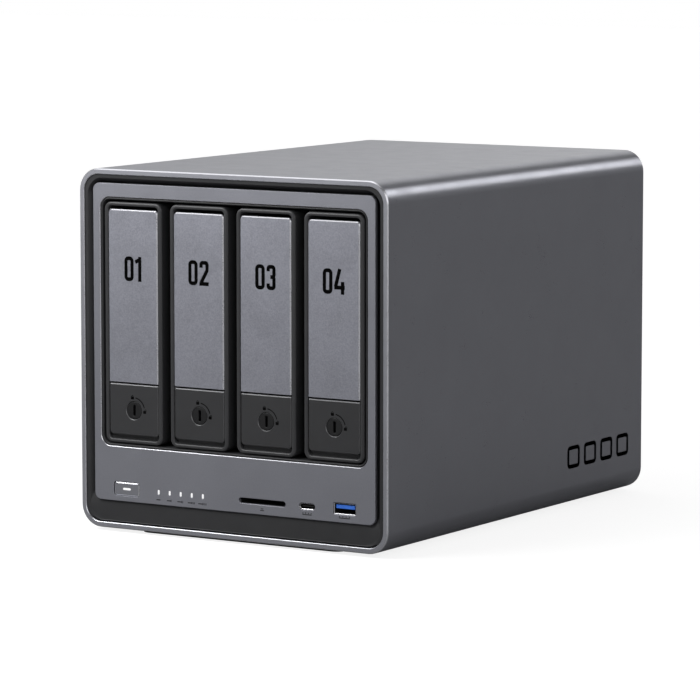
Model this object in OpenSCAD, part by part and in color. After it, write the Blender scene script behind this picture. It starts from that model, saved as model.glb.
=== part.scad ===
// Four-bay network storage enclosure.
// Origin on the floor under the middle of the case, +Z up, front at -Y, +X to the right.
// Depths into the case ("_d") are counted back from the front rim.

/* [Case] */
// Width of the sleeve
case_w = 178.2; // [178:0.1:230]
// Height of the sleeve, without its feet
case_h = 178.2; // [178:0.1:230]
// Depth of the sleeve, front rim to rear rim
case_d = 257.5; // [248:0.5:340]
// Outer corner radius of the sleeve
case_r = 11.1; // [8:0.1:16]
// Wall thickness of the sleeve
wall = 2.75; // [2:0.05:3.6]
// Height of the rubber foot strips below the sleeve
foot_h = 1.8; // [1:0.1:6]
// Length of a foot strip
foot_l = 117.4; // [60:0.2:140]
// Width of a foot strip
foot_w = 11; // [6:0.5:16]

/* [Front] */
// Air channel between the rim and the fascia, left and right
channel_side = 4.85; // [3:0.05:6]
// Air channel above the fascia
channel_top = 4.39; // [3:0.05:6]
// Air channel below the fascia
channel_bottom = 11.05; // [8:0.05:14]
// Depth of the air channel's floor behind the rim
channel_d = 9; // [7:0.5:12]
// Height of the fascia's control strip, below the bay window
strip_h = 27.2; // [24:0.1:36]
// Thickness of the aluminium fascia
fascia_t = 2; // [1.5:0.1:3]
// Corner radius of the fascia
fascia_r = 3.6; // [2:0.1:6]
// Corner radius of the bay window
window_r = 5.4; // [4.5:0.1:7]
// Thickness of the black liner inside the window
liner_t = 1.3; // [1:0.1:1.6]
// Height of the ports, lights and power button above the fascia's lower edge
controls_up = 6.2; // [5:0.1:10]

/* [Trays] */
// Gap between two neighbouring tray frames
frame_gap = 4.75; // [3:0.05:6]
// Side wall of a tray's front frame
frame_wall = 2.3; // [1.8:0.1:2.6]
// Top and bottom wall of a tray's front frame
frame_end = 1.95; // [1.6:0.05:2.6]
// Corner radius of a tray's front frame
frame_r = 3.9; // [3:0.1:5]
// Depth of a tray's front frame
frame_depth = 19; // [18:0.5:24]
// Height of the aluminium plate on a handle
plate_h = 85.3; // [70:0.1:90]
// Thickness of the aluminium plate
plate_t = 1.5; // [1:0.1:2]
// Seam between the plate and the latch below it
seam = 0.8; // [0.4:0.05:1.5]
// Diameter of the key lock
lock_dia = 8.9; // [7:0.1:11]
// Diameter of a handle's hinge pin
pin_dia = 3; // [2:0.1:3.4]

/* [Rear] */
// Size of the square fan
fan_size = 140; // [120:1:140]
// Depth of the fan
fan_t = 25; // [15:1:32]
// Thickness of the rear panel
panel_t = 2; // [1.5:0.1:2.5]
// Thickness of the magnetic dust filter
filter_t = 2.2; // [1.5:0.1:2.6]

/* [Hidden] */
$fn = 48;
// Extra length that carries a cut through a face
cut = 1;

// Standard 3.5-inch drive, on its edge: thickness, height and length
drive_t = 26.1;
drive_h = 101.6;
drive_l = 147;
// Standard bottom hole pattern of a 2.5-inch drive, M3
ssd_hole_y = 76.6;
ssd_hole_z = 61.72;
ssd_hole_r = 1.7;
// Connector end of a 2.5-inch drive to the middle of its hole pattern
ssd_hole_back = 52.3;
bays = 4;

// Sleeve
front_y = -case_d / 2;
rear_y = case_d / 2;
base_z = foot_h;
floor_z = base_z + wall;
ceiling_z = base_z + case_h - wall;
inner_w = case_w - 2 * wall;
inner_h = case_h - 2 * wall;
inner_r = case_r - wall;
mid_z = base_z + case_h / 2;

// Tray fronts and bay window
// Room beside a drive, and above and below it, inside a tray's front frame
frame_side = 3.95;
frame_over = 8.78;
frame_w = drive_t + 2 * frame_side;
frame_h = drive_h + 2 * frame_over;
pitch = frame_w + frame_gap;
window_gap_x = 2.175;
window_gap_bottom = 1.9;
window_gap_top = 2.34;
fascia_z0 = floor_z + channel_bottom;
fascia_z1 = ceiling_z - channel_top;
window_z0 = fascia_z0 + strip_h;
frame_z0 = window_z0 + window_gap_bottom;
frame_z1 = frame_z0 + frame_h;
window_z1 = frame_z1 + window_gap_top;
bay_mid_z = (frame_z0 + frame_z1) / 2;
window_w = bays * pitch - frame_gap + 2 * window_gap_x;
fascia_w = inner_w - 2 * channel_side;
fascia_d = 0.8;
fascia_back = fascia_d + fascia_t;
controls_z = fascia_z0 + controls_up;

// Front frame of a tray and what sits in it
frame_d = 1.2;
frame_back = frame_d + frame_depth;
frame_back_t = 2;
slot_w = frame_w - 2 * frame_wall;
slot_z0 = frame_z0 + frame_end;
slot_z1 = frame_z1 - frame_end;
side_gap = 0.2;
plate_w = slot_w - 2 * side_gap;
plate_d = 1.25;
plate_back = plate_d + plate_t;
plate_gap_top = 1.71;
plate_z1 = slot_z1 - plate_gap_top;
plate_z0 = plate_z1 - plate_h;
plate_r = 1.7;
latch_gap = 2.21;
latch_z0 = slot_z0 + latch_gap;
latch_z1 = plate_z0 - seam;
latch_d = 1.45;
latch_r = 2;
lock_z = latch_z0 + 12.34;
lock_r = lock_dia / 2;
running_gap = 0.08;
// Hinge of the handle, behind the plate's front and below its top
hinge_in = 5.25;
hinge_down = 6;
hinge_d = plate_d + hinge_in;
hinge_z = plate_z1 - hinge_down;
pin_r = pin_dia / 2;
hub_r = pin_r + 1.9;
// Room above the slot, behind the frame's lip, for the plate's top edge as it swings
swing_room = 0.7;
lip_d = 3.2;

// Body of a tray
tray_half = frame_w / 2 - 2.4;
rail_t = 3;
sheet_t = 2;
drive_gap = 0.4;
slide_gap = 0.28;
tray_z0 = bay_mid_z - drive_h / 2 - drive_gap - rail_t;
tray_z1 = bay_mid_z + drive_h / 2 + drive_gap + rail_t;
drive_front_gap = 0.8;
// Air slots in a tray's sheet: from the frame, to the sheet's end, and their height
tray_air_front = 62;
tray_air_back = 22;
tray_air_h = 40;
tray_end = frame_back + drive_front_gap + drive_l;

// Cage, backplane and boards
cage_t = 1.2;
cage_d = frame_back + 3.8;
cage_half = bays / 2 * pitch;
connector_room = 10.75;
cage_end = tray_end + connector_room;
cage_z0 = tray_z0 - slide_gap - cage_t;
cage_z1 = tray_z1 + slide_gap + cage_t;
rib_h = 4;
rib_x = tray_half + 0.3;
cage_air_inset = 10;
cage_air_h = 60;
board_t = 1.6;
flange_w = 9;
board_z = floor_z + 14;
board_top = board_z + board_t;
// The main board lies between the cage's feet, clear of the lugs of the rear panel
lug_r = 4;
lug_in = 7;
lug_up = 12;
lug_room = 1.35;
board_half = min(cage_half - 3.5, inner_w / 2 - lug_in - lug_r - lug_room);
board_d = 60;
io_top = controls_z - 2.9;
io_half = cage_half - 2;
io_d = channel_d + 2;
io_end = io_d + 34;
shelf_t = 1.5;

// Controls and front ports, across the front
button_x = -62.4;
button_w = 14.8;
button_h = 6.6;
button_r = 1.3;
groove = 0.3;
light_pitch = 6.53;
light_x = -30.26;
light_w = 1.4;
light_h = 2.6;
sd_x = 17.4;
usb_c_x = 43.2;
usb_a_x = 64.4;
port_gap = 0.15;
usb_a_z = controls_z + 0.5;
usb_a_w = 12.5;
usb_a_h = 5.5;
usb_c_w = 8.9;
usb_c_h = 3;

// Rear
panel_y = rear_y - 3.5;
panel_front = panel_y - panel_t;
fan_z = ceiling_z - 0.5 - fan_size / 2;
fan_bore = fan_size / 2 - 3;
fan_hole = fan_size / 2 - 7.75;
fan_y = panel_front - fan_t;
filter_w = fan_size - 1;
dc_x = -62;
hdmi_x = -40;
rear_usb_x = -17;
lan_x = 12;
lan_pitch = 20;
reset_x = 52;
lock_slot_x = 68;
// Middle of each port above the main board
dc_up = 5.5;
hdmi_up = 3.2;
rear_usb_up = 7;
lan_up = 6.75;
reset_up = 5;
port_y = panel_y + 0.2;

// Base hatch
hatch_w = 112;
hatch_l = 92;
hatch_y = 12;
hatch_ledge = 6;
hatch_t = 1.5;
foot_sink = 0.6;
foot_inset = 6.5;

function bay_x(n) = (n - (bays + 1) / 2) * pitch;

// Rectangle with round corners, centred
module rounded(w, h, r) {
    square([w - 2 * r, h], center = true);
    square([w, h - 2 * r], center = true);
    for (x = [-1, 1], y = [-1, 1]) {
        translate([x * (w / 2 - r), y * (h / 2 - r)]) circle(r);
    }
}

// Rounded rectangle between two heights
module panel_shape(w, z0, z1, r) {
    translate([0, (z0 + z1) / 2]) rounded(w, z1 - z0, r);
}

// Extrudes an outline drawn in X and Z between two depths behind the front rim
module slab(from, to) {
    translate([0, front_y + to, 0]) rotate([90, 0, 0]) linear_extrude(to - from) children();
}

// The same between two places along Y
module slab_y(from, to) {
    translate([0, to, 0]) rotate([90, 0, 0]) linear_extrude(to - from) children();
}

// Round bar along Y between two places
module rod_y(r, from, to) {
    translate([0, from, 0]) rotate([-90, 0, 0]) cylinder(h = to - from, r = r);
}

// Round bar along X, centred
module rod_x(r, length) {
    rotate([0, 90, 0]) cylinder(h = length, r = r, center = true);
}

// Box between two corners
module box(low, high) {
    translate(low) cube(high - low);
}

module inner_outline() {
    translate([0, mid_z]) rounded(inner_w, inner_h, inner_r);
}

module window_outline(inset) {
    panel_shape(window_w - 2 * inset, window_z0 + inset, window_z1 - inset, window_r - inset);
}

// Openings that the ports, lights and button need in the fascia and bezel
module control_cuts(grow) {
    translate([button_x, controls_z]) {
        rounded(button_w + 2 * (groove + grow), button_h + 2 * (groove + grow), button_r + groove);
    }
    for (i = [-2:2]) {
        translate([light_x + i * light_pitch, controls_z]) {
            rounded(light_w + 2 * grow, light_h + 2 * grow, light_w / 2 + grow - 0.01);
        }
    }
    translate([sd_x, controls_z]) rounded(27 + 2 * grow, 2.8 + 2 * grow, 1.39);
    translate([usb_c_x, controls_z]) {
        rounded(usb_c_w + 2 * (port_gap + grow), usb_c_h + 2 * (port_gap + grow), usb_c_h / 2);
    }
    translate([usb_a_x, usb_a_z]) {
        rounded(usb_a_w + 2 * (port_gap + grow), usb_a_h + 2 * (port_gap + grow), 0.6);
    }
}

// Countersunk or cylinder-head screw along Z, head at the bottom, from height z
module screw_up(z, length, head_r, head_h, shank_r) {
    translate([0, 0, z]) cylinder(h = head_h, r = head_r);
    translate([0, 0, z]) cylinder(h = length, r = shank_r);
}

// Places of the screws that hold the cage to the sleeve's floor
module cage_screw_places() {
    for (x = [-1, 1], y = [front_y + cage_d + 20, front_y + cage_end - 20]) {
        translate([x * (cage_half - flange_w / 2), y, 0]) children();
    }
}

module cover_screw_places() {
    for (x = [-1, 1]) translate([x * (hatch_w / 2 - hatch_ledge / 2), hatch_y, 0]) children();
}

screw_r = 1.5;
screw_head_r = 2.8;
screw_head_h = 1.6;

module foot_shape(grow) {
    rounded(foot_l + 2 * grow, foot_w + 2 * grow, foot_w / 2 + grow - 0.01);
}

module foot_places(side) {
    translate([0, side * (case_d / 2 - foot_inset - foot_w / 2), 0]) children();
}

module shell() {
    color("#5c5d61") difference() {
        slab(0, case_d) difference() {
            translate([0, mid_z]) rounded(case_w, case_h, case_r);
            inner_outline();
        }
        for (side = [-1, 1]) {
            foot_places(side) translate([0, 0, base_z - cut]) {
                linear_extrude(foot_sink + cut) foot_shape(0);
            }
        }
        translate([0, hatch_y, base_z - cut]) {
            linear_extrude(hatch_t + cut) rounded(hatch_w, hatch_l, 4);
        }
        translate([0, hatch_y, base_z - cut]) linear_extrude(wall + 2 * cut) {
            rounded(hatch_w - 2 * hatch_ledge, hatch_l - 2 * hatch_ledge, 3);
        }
        cage_screw_places() {
            translate([0, 0, base_z - cut]) cylinder(h = wall + 2 * cut, r = screw_r + 0.1);
            translate([0, 0, base_z - cut]) cylinder(h = screw_head_h + cut, r = screw_head_r + 0.2);
        }
        cover_screw_places() {
            translate([0, 0, base_z]) cylinder(h = wall + cut, r = screw_r);
        }
    }
}

// Slots in the floor of the air channel
module intake_slots() {
    slot = 12;
    run_z = fascia_z1 - fascia_z0 - 2 * slot;
    for (side = [-1, 1], i = [0:5]) {
        z = fascia_z0 + slot + run_z * (i + 0.5) / 6;
        translate([side * (fascia_w / 2 + 1.2), z]) square([1.8, slot], center = true);
    }
    for (i = [0:5]) {
        x = (i - 2.5) * fascia_w / 7;
        translate([x, fascia_z1 + 1.2]) square([slot, 1.8], center = true);
    }
}

// Upright between two trays
module panel_mullion(x) {
    play = 0.4;
    translate([x, bay_mid_z]) {
        square([frame_gap - 2 * play, window_z1 - window_z0 - liner_t], center = true);
    }
}

module front_bezel() {
    mullion_d = channel_d + 4;
    skirt_t = 1.8;
    skirt_d = 0.6;
    seat = 1;
    post_t = 1.4;
    color("#1c1c1e") {
        difference() {
            union() {
                // Outer skirt and channel floor
                slab(skirt_d, channel_d + 2) difference() {
                    inner_outline();
                    translate([0, mid_z]) {
                        rounded(inner_w - 2 * skirt_t, inner_h - 2 * skirt_t, inner_r - skirt_t);
                    }
                }
                slab(channel_d, channel_d + 2) difference() {
                    inner_outline();
                    window_outline(0.1 + liner_t);
                    intake_slots();
                }
                // Wall that the fascia rests on
                slab(fascia_back, channel_d + 0.5) difference() {
                    panel_shape(fascia_w - 2 * seat, fascia_z0 + seat, fascia_z1 - seat, fascia_r - seat);
                    panel_shape(
                        fascia_w - 2 * (seat + post_t),
                        fascia_z0 + seat + post_t,
                        fascia_z1 - seat - post_t,
                        fascia_r - seat - post_t
                    );
                }
                // Liner of the bay window
                slab(fascia_d + 0.3, cage_d - 4) difference() {
                    window_outline(0.1);
                    window_outline(0.1 + liner_t);
                }
                // Mullions behind the gaps between the trays
                slab(mullion_d, cage_d - 4) for (k = [-1:1]) {
                    panel_mullion(k * pitch);
                }
                // Ramp under the fascia
                intersection() {
                    slab(skirt_d, channel_d + 1) inner_outline();
                    translate([-inner_w / 2, 0, 0]) rotate([90, 0, 90]) linear_extrude(inner_w) {
                        polygon([
                            [front_y + skirt_d + 0.6, floor_z],
                            [front_y + channel_d + 1, floor_z],
                            [front_y + channel_d + 1, fascia_z0 - 0.8],
                            [front_y + channel_d - 1, fascia_z0 - 0.8],
                            [front_y + skirt_d + 0.6, floor_z + skirt_t]
                        ]);
                    }
                }
                // Shelf under the front board
                box(
                    [-io_half, front_y + io_d - 0.5, io_top - board_t - shelf_t],
                    [io_half, front_y + io_end - 8, io_top - board_t]
                );
            }
            slab(channel_d - cut, channel_d + 2 + cut) control_cuts(0.3);
        }
    }
}

module front_fascia() {
    color("#8e9098") slab(fascia_d, fascia_back) difference() {
        panel_shape(fascia_w, fascia_z0, fascia_z1, fascia_r);
        window_outline(0);
        control_cuts(0);
    }
}

// Long slots that let air through a sheet standing in Y and Z
module sheet_slots(x, thickness, count, from, to, z0, z1) {
    for (i = [0:count - 1]) {
        y = front_y + from + (to - from) * (i + 0.5) / count;
        box([x - thickness, y - 3, z0], [x + thickness, y + 3, z1]);
    }
}

// Air slots through an upright sheet of the cage
module cage_air(x) {
    from = cage_d + cage_air_inset;
    to = cage_end - cage_air_inset;
    half_h = cage_air_h / 2;
    sheet_slots(x, 2 * cage_t, 6, from, to, bay_mid_z - half_h, bay_mid_z + half_h);
}

// Outer box of the cage, with feet that are screwed to the sleeve's floor
module drive_cage() {
    color("#7d8084") difference() {
        intersection() {
            slab(0, case_d) inner_outline();
            cage_sheets(front_y + cage_d, front_y + cage_end);
        }
        for (side = [-1, 1]) cage_air(side * cage_half);
        cage_screw_places() translate([0, 0, floor_z - cut]) cylinder(h = cage_t + 2 * cut, r = screw_r);
    }
}

module cage_sheets(y0, y1) {
    for (z = [cage_z0, cage_z1 - cage_t]) {
        box([-cage_half, y0, z], [cage_half, y1, z + cage_t]);
    }
    for (side = [-1, 1]) {
        x = side < 0 ? -cage_half - cage_t : cage_half;
        box([x, y0, floor_z], [x + cage_t, y1, cage_z1]);
        inner = side < 0 ? -cage_half : cage_half - flange_w;
        box([inner, y0, floor_z], [inner + flange_w, y1, floor_z + cage_t]);
    }
}

// Dividers between the bays, and the rails that guide each tray
module cage_guides() {
    y0 = front_y + cage_d;
    y1 = front_y + cage_end;
    z0 = cage_z0 + cage_t;
    z1 = cage_z1 - cage_t;
    color("#85888c") {
        for (k = [-1:1]) difference() {
            box([k * pitch - cage_t / 2, y0, z0], [k * pitch + cage_t / 2, y1, z1]);
            cage_air(k * pitch);
        }
        for (n = [1:bays], side = [-1, 1], z = [z0, z1 - rib_h]) {
            x = bay_x(n) + (side < 0 ? -rib_x - cage_t : rib_x);
            box([x, y0, z], [x + cage_t, y1, z + rib_h]);
        }
    }
}

module cage_screws() {
    color("#3a3a3c") cage_screw_places() {
        screw_up(base_z + 0.2, wall + 1.6, screw_head_r, screw_head_h - 0.2, screw_r - 0.05);
    }
}

module backplane_board() {
    y = front_y + cage_end;
    color("#1f5c3a") slab_y(y, y + board_t) difference() {
        panel_shape(2 * cage_half, cage_z0, cage_z1, 2);
        for (k = [-1:1]) {
            translate([k * pitch, bay_mid_z]) rounded(8, 70, 3);
        }
    }
}

// One combined data and power socket, standing on the backplane
module backplane_connectors() {
    y = front_y + cage_end;
    color("#202022") for (n = [1:bays]) {
        translate([bay_x(n) - 6, y, bay_mid_z - 18]) difference() {
            box([-3.5, -10, -22], [3.5, 0, 22]);
            box([-1.2, -10 - cut, -19.5], [1.6, -4, 7]);
            box([-1.2, -10 - cut, 9.5], [1.6, -4, 19.5]);
        }
    }
}

module main_board() {
    color("#1f5c3a") difference() {
        box([-board_half, front_y + board_d, board_z], [board_half, panel_front - 1.5, board_top]);
        standoff_places() translate([0, 0, board_z - cut]) {
            cylinder(h = board_t + 2 * cut, r = screw_r + 0.1);
        }
    }
}

module standoff_places() {
    for (x = [-1, 1], y = [front_y + board_d + 6, panel_front - 30]) {
        translate([x * (board_half - 12), y, 0]) children();
    }
}

module board_standoffs() {
    color("#b08d46") standoff_places() difference() {
        translate([0, 0, floor_z]) cylinder(h = board_z - floor_z, r = 3);
        translate([0, 0, board_z - 8]) cylinder(h = 8 + cut, r = 1.25);
    }
}

module cpu_heatsink() {
    size = 58;
    fin = 1.6;
    fins = 9;
    top = cage_z0 - 1.5;
    color("#a9abb0") translate([0, 20, 0]) {
        box([-size / 2, -size / 2, board_top], [size / 2, size / 2, board_top + 5]);
        for (i = [0:fins - 1]) {
            x = -size / 2 + fin / 2 + i * (size - fin) / (fins - 1);
            box([x - fin / 2, -size / 2, board_top + 4], [x + fin / 2, size / 2, top]);
        }
    }
}

memory_y = hatch_y - 30;
memory_z = board_z - 5.2;

module memory_socket() {
    color("#232326") difference() {
        box([-36, memory_y, board_z - 7.5], [36, memory_y + 9, board_z]);
        box([-33.8, memory_y + 4, memory_z - 0.6], [33.8, memory_y + 9 + cut, memory_z + 0.6]);
    }
}

module memory_module() {
    color("#23643f") {
        box([-33.8, memory_y + 4, memory_z - 0.6], [33.8, memory_y + 34, memory_z + 0.6]);
        for (i = [-2:2]) {
            if (i != 0) {
                box(
                    [i * 13 - 5, memory_y + 16, memory_z - 1.6],
                    [i * 13 + 5, memory_y + 30, memory_z + 1.6]
                );
            }
        }
    }
}

module front_io_board() {
    color("#1f5c3a") {
        box(
            [-io_half, front_y + io_d + 0.5, io_top - board_t],
            [io_half, front_y + io_end, io_top]
        );
        // Switch behind the power button
        box(
            [button_x - 3, front_y + io_d + 5, io_top - 0.2],
            [button_x + 3, front_y + io_d + 9, controls_z + 3]
        );
    }
}

module sd_slot() {
    color("#2a2a2d") difference() {
        box(
            [sd_x - 14.5, front_y + channel_d + 2.6, io_top],
            [sd_x + 14.5, front_y + channel_d + 30, controls_z + 2.4]
        );
        slab(channel_d, channel_d + 27) translate([sd_x, controls_z]) rounded(25, 2.4, 0.4);
    }
}

module usb_c_port() {
    color("#c0c2c6") {
        slab(fascia_d + 0.3, channel_d + 8) translate([usb_c_x, controls_z]) difference() {
            rounded(usb_c_w, usb_c_h, usb_c_h / 2 - 0.01);
            rounded(usb_c_w - 0.6, usb_c_h - 0.6, usb_c_h / 2 - 0.31);
        }
        slab(fascia_d + 1, channel_d + 8) translate([usb_c_x, controls_z]) {
            square([6.6, 0.7], center = true);
        }
        slab(channel_d + 6, channel_d + 8) translate([usb_c_x, controls_z]) {
            rounded(usb_c_w - 0.5, usb_c_h - 0.5, 1.2);
        }
        box(
            [usb_c_x - 4, front_y + channel_d + 3, io_top],
            [usb_c_x + 4, front_y + channel_d + 8, controls_z - usb_c_h / 2 + 0.2]
        );
    }
}

module usb_a_port() {
    z = usb_a_z;
    color("#c0c2c6") {
        slab(fascia_d + 0.3, channel_d + 10) translate([usb_a_x, z]) difference() {
            rounded(usb_a_w, usb_a_h, 0.5);
            rounded(usb_a_w - 0.7, usb_a_h - 0.7, 0.3);
        }
        slab(channel_d + 8, channel_d + 10) translate([usb_a_x, z]) {
            rounded(usb_a_w - 0.5, usb_a_h - 0.5, 0.3);
        }
        slab(fascia_d + 1.2, channel_d + 9) {
            translate([usb_a_x, z + 0.75]) square([usb_a_w - 2.4, 1.7], center = true);
        }
        box(
            [usb_a_x - 5, front_y + channel_d + 3, io_top],
            [usb_a_x + 5, front_y + channel_d + 10, z - usb_a_h / 2 + 0.2]
        );
    }
}

// Five light pipes on one rail
module status_lights() {
    color("#f4f4f4") {
        slab(fascia_d, channel_d + 4) for (i = [-2:2]) {
            translate([light_x + i * light_pitch, controls_z]) {
                rounded(light_w - 0.1, light_h - 0.1, light_w / 2 - 0.06);
            }
        }
        box(
            [light_x - 2 * light_pitch - 2, front_y + channel_d + 3, io_top],
            [light_x + 2 * light_pitch + 2, front_y + channel_d + 6, controls_z + light_h / 2]
        );
    }
}

module power_button() {
    flange_x = 1.1;
    flange_z = 0.3;
    color("#77787e") difference() {
        union() {
            slab(fascia_d + 0.15, fascia_back + 0.5) translate([button_x, controls_z]) {
                rounded(button_w, button_h, button_r);
            }
            slab(fascia_back + 0.05, fascia_back + 1.5) translate([button_x, controls_z]) {
                rounded(button_w + 2 * flange_x, button_h + 2 * flange_z, button_r);
            }
            slab(fascia_back + 1, io_d + 4) translate([button_x, controls_z + 0.6]) rounded(3.4, 2.6, 0.5);
        }
        slab(0, fascia_back) translate([button_x, controls_z]) rounded(4.8, 1.4, 0.69);
    }
}

module button_light() {
    color("#ffffff") slab(fascia_d + 0.05, fascia_back) {
        translate([button_x, controls_z]) rounded(4.8, 1.4, 0.69);
    }
}

// Outline of the rear ports, as cut through the panel
module rear_port_cuts(grow) {
    for (i = [0, 1]) {
        translate([lan_x + i * lan_pitch, board_top + lan_up]) {
            square([16 + 2 * grow, 13.5 + 2 * grow], center = true);
        }
    }
    translate([hdmi_x, board_top + hdmi_up]) square([15.4 + 2 * grow, 6.4 + 2 * grow], center = true);
    translate([rear_usb_x, board_top + rear_usb_up]) square([14.4 + 2 * grow, 14 + 2 * grow], center = true);
    translate([dc_x, board_top + dc_up]) square([9.4 + 2 * grow, 11 + 2 * grow], center = true);
}

module panel_screw_places() {
    x = inner_w / 2 - lug_in;
    for (side = [-1, 1], z = [floor_z + lug_up, ceiling_z - lug_up]) translate([side * x, 0, z]) children();
}

module fan_screw_places() {
    for (x = [-1, 1], z = [-1, 1]) {
        translate([x * fan_hole, 0, fan_z + z * fan_hole]) children();
    }
}

module rear_panel() {
    guard_t = 2;
    color("#232325") {
        difference() {
            slab_y(panel_front, panel_y) difference() {
                inner_outline();
                translate([0, fan_z]) circle(fan_bore);
                rear_port_cuts(0.2);
                translate([lock_slot_x, board_top + reset_up]) rounded(7, 3, 0.6);
            }
            fan_screw_places() rod_y(screw_r + 0.3, panel_front - cut, panel_y + cut);
            panel_screw_places() rod_y(screw_r + 0.1, panel_front - cut, panel_y + cut);
            translate([reset_x, 0, board_top + reset_up]) rod_y(1.6, panel_front - cut, panel_y + cut);
            // Seats for the filter's magnets
            magnet_places() rod_y(magnet_r + 0.2, panel_y - 0.3, panel_y + cut);
        }
        // Finger guard over the fan
        slab_y(panel_y - guard_t + 0.6, panel_y - 0.2) translate([0, fan_z]) {
            for (r = [16:17:fan_bore - 4]) {
                difference() {
                    circle(r + 0.8);
                    circle(r - 0.8);
                }
            }
            for (a = [45, 135]) {
                rotate(a) difference() {
                    square([2 * fan_bore + 1, 1.8], center = true);
                    circle(15.5);
                }
            }
        }
        // Lugs that the screws hold
        panel_screw_places() difference() {
            rod_y(lug_r, panel_front - 6, panel_front + 0.2);
            rod_y(screw_r - 0.1, panel_front - 6 - cut, panel_y + cut);
        }
    }
}

module panel_screws() {
    color("#3a3a3c") panel_screw_places() {
        rod_y(screw_head_r, panel_y, panel_y + screw_head_h);
        rod_y(screw_r - 0.15, panel_front - 5, panel_y + 0.1);
    }
}

module fan_frame() {
    stator = 20.5;
    color("#1b1b1d") {
        difference() {
            slab_y(fan_y, fan_y + fan_t) difference() {
                translate([0, fan_z]) rounded(fan_size, fan_size, 6);
                translate([0, fan_z]) circle(fan_bore);
            }
            fan_screw_places() rod_y(screw_r + 0.1, fan_y - cut, fan_y + fan_t + cut);
        }
        translate([0, 0, fan_z]) difference() {
            union() {
                rod_y(stator, fan_y + fan_t - 3.4, fan_y + fan_t - 0.4);
                rod_y(4, fan_y + 6, fan_y + fan_t - 1);
            }
            rod_y(1.55, fan_y, fan_y + fan_t - 2);
        }
        slab_y(fan_y + fan_t - 3.4, fan_y + fan_t - 0.4) translate([0, fan_z]) for (a = [0:90:270]) {
            rotate(a) translate([stator - 0.5, -2]) square([fan_bore - stator + 1, 4]);
        }
    }
}

module fan_rotor() {
    hub = 21;
    blade_gap = 1.2;
    blades = 9;
    color("#2b2b2e") translate([0, 0, fan_z]) {
        difference() {
            rod_y(hub, fan_y + 1, fan_y + fan_t - 5);
            rod_y(hub - 1.6, fan_y + 3, fan_y + fan_t - 5 + cut);
        }
        rod_y(1.5, fan_y + 2, fan_y + fan_t - 3);
        intersection() {
            difference() {
                rod_y(fan_bore - blade_gap, fan_y + 2, fan_y + fan_t - 5.5);
                rod_y(hub - 0.4, fan_y + 1, fan_y + fan_t);
            }
            for (i = [0:blades - 1]) {
                rotate([0, i * 360 / blades, 0]) translate([hub - 2, fan_y + fan_t / 2 - 1.5, 0]) {
                    rotate([52, 0, 8]) box([0, -0.8, -14], [fan_bore - hub + 4, 0.8, 14]);
                }
            }
        }
    }
}

module fan_screws() {
    color("#3a3a3c") fan_screw_places() {
        rod_y(screw_head_r, panel_y, panel_y + 1.2);
        rod_y(screw_r, fan_y + fan_t - 12, panel_y + 0.1);
    }
}

magnet_r = 3;
magnet_t = 1.2;

module magnet_places() {
    for (x = [-1, 1], z = [-1, 1]) {
        translate([x * (filter_w / 2 - 5.2), 0, fan_z + z * (filter_w / 2 - 20)]) children();
    }
}

module dust_filter() {
    bars = 11;
    border = 10.5;
    y0 = panel_y + 0.05;
    color("#2e2e31") difference() {
        union() {
            slab_y(y0, y0 + filter_t) difference() {
                translate([0, fan_z]) rounded(filter_w, filter_w, 7);
                translate([0, fan_z]) rounded(filter_w - 2 * border, filter_w - 2 * border, 4);
            }
            slab_y(y0 + 0.8, y0 + filter_t - 0.4) translate([0, fan_z]) for (i = [1:bars]) {
                place = (i / (bars + 1) - 0.5) * (filter_w - 2 * border);
                translate([place, 0]) square([1.4, filter_w - 2 * border + 1], center = true);
                translate([0, place]) square([filter_w - 2 * border + 1, 1.4], center = true);
            }
        }
        magnet_places() rod_y(magnet_r + 0.02, y0 - cut, y0 + magnet_t);
        // Hollows over the fan's screw heads
        fan_screw_places() rod_y(screw_head_r + 0.4, y0 - cut, y0 + 1.5);
    }
}

module filter_magnets() {
    y0 = panel_y + 0.05;
    color("#b9bcc2") magnet_places() rod_y(magnet_r, y0, y0 + magnet_t);
}

module lan_ports() {
    color("#a8abb0") for (i = [0, 1]) {
        translate([lan_x + i * lan_pitch, 0, board_top]) difference() {
            box([-8, port_y - 21.3, 0], [8, port_y, 13.5]);
            box([-5.9, port_y - 14, 2], [5.9, port_y + cut, 10]);
            box([-3, port_y - 14, 9.5], [3, port_y + cut, 11.8]);
        }
    }
}

module hdmi_port() {
    color("#a8abb0") translate([hdmi_x, 0, board_top]) {
        difference() {
            box([-7.7, port_y - 12, 0], [7.7, port_y, 6.4]);
            box([-7.1, port_y - 10, 1.8], [7.1, port_y + cut, 5.8]);
            box([-5.6, port_y - 10, 0.8], [5.6, port_y + cut, 2.2]);
        }
        box([-5.4, port_y - 11, 3.2], [5.4, port_y - 1, 4.2]);
    }
}

module rear_usb_ports() {
    color("#a8abb0") translate([rear_usb_x, 0, board_top]) {
        difference() {
            box([-7.2, port_y - 17, 0], [7.2, port_y, 14]);
            for (z = [0.9, 7.9]) box([-6.3, port_y - 14, z], [6.3, port_y + cut, z + 5.1]);
        }
        for (z = [3.2, 10.2]) box([-5.2, port_y - 15, z], [5.2, port_y - 1, z + 1.8]);
    }
}

module dc_inlet() {
    color("#19191b") {
        translate([dc_x, 0, board_top + dc_up]) {
            difference() {
                box([-4.7, port_y - 14, -5.5], [4.7, port_y, 5.5]);
                rod_y(3.2, port_y - 11, port_y + cut);
            }
            rod_y(1.25, port_y - 12, port_y - 1);
        }
    }
}

module reset_button() {
    color("#e6e6e6") translate([reset_x, 0, board_top + reset_up]) {
        rod_y(1.5, panel_front - 6, panel_y - 0.3);
    }
}

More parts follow.
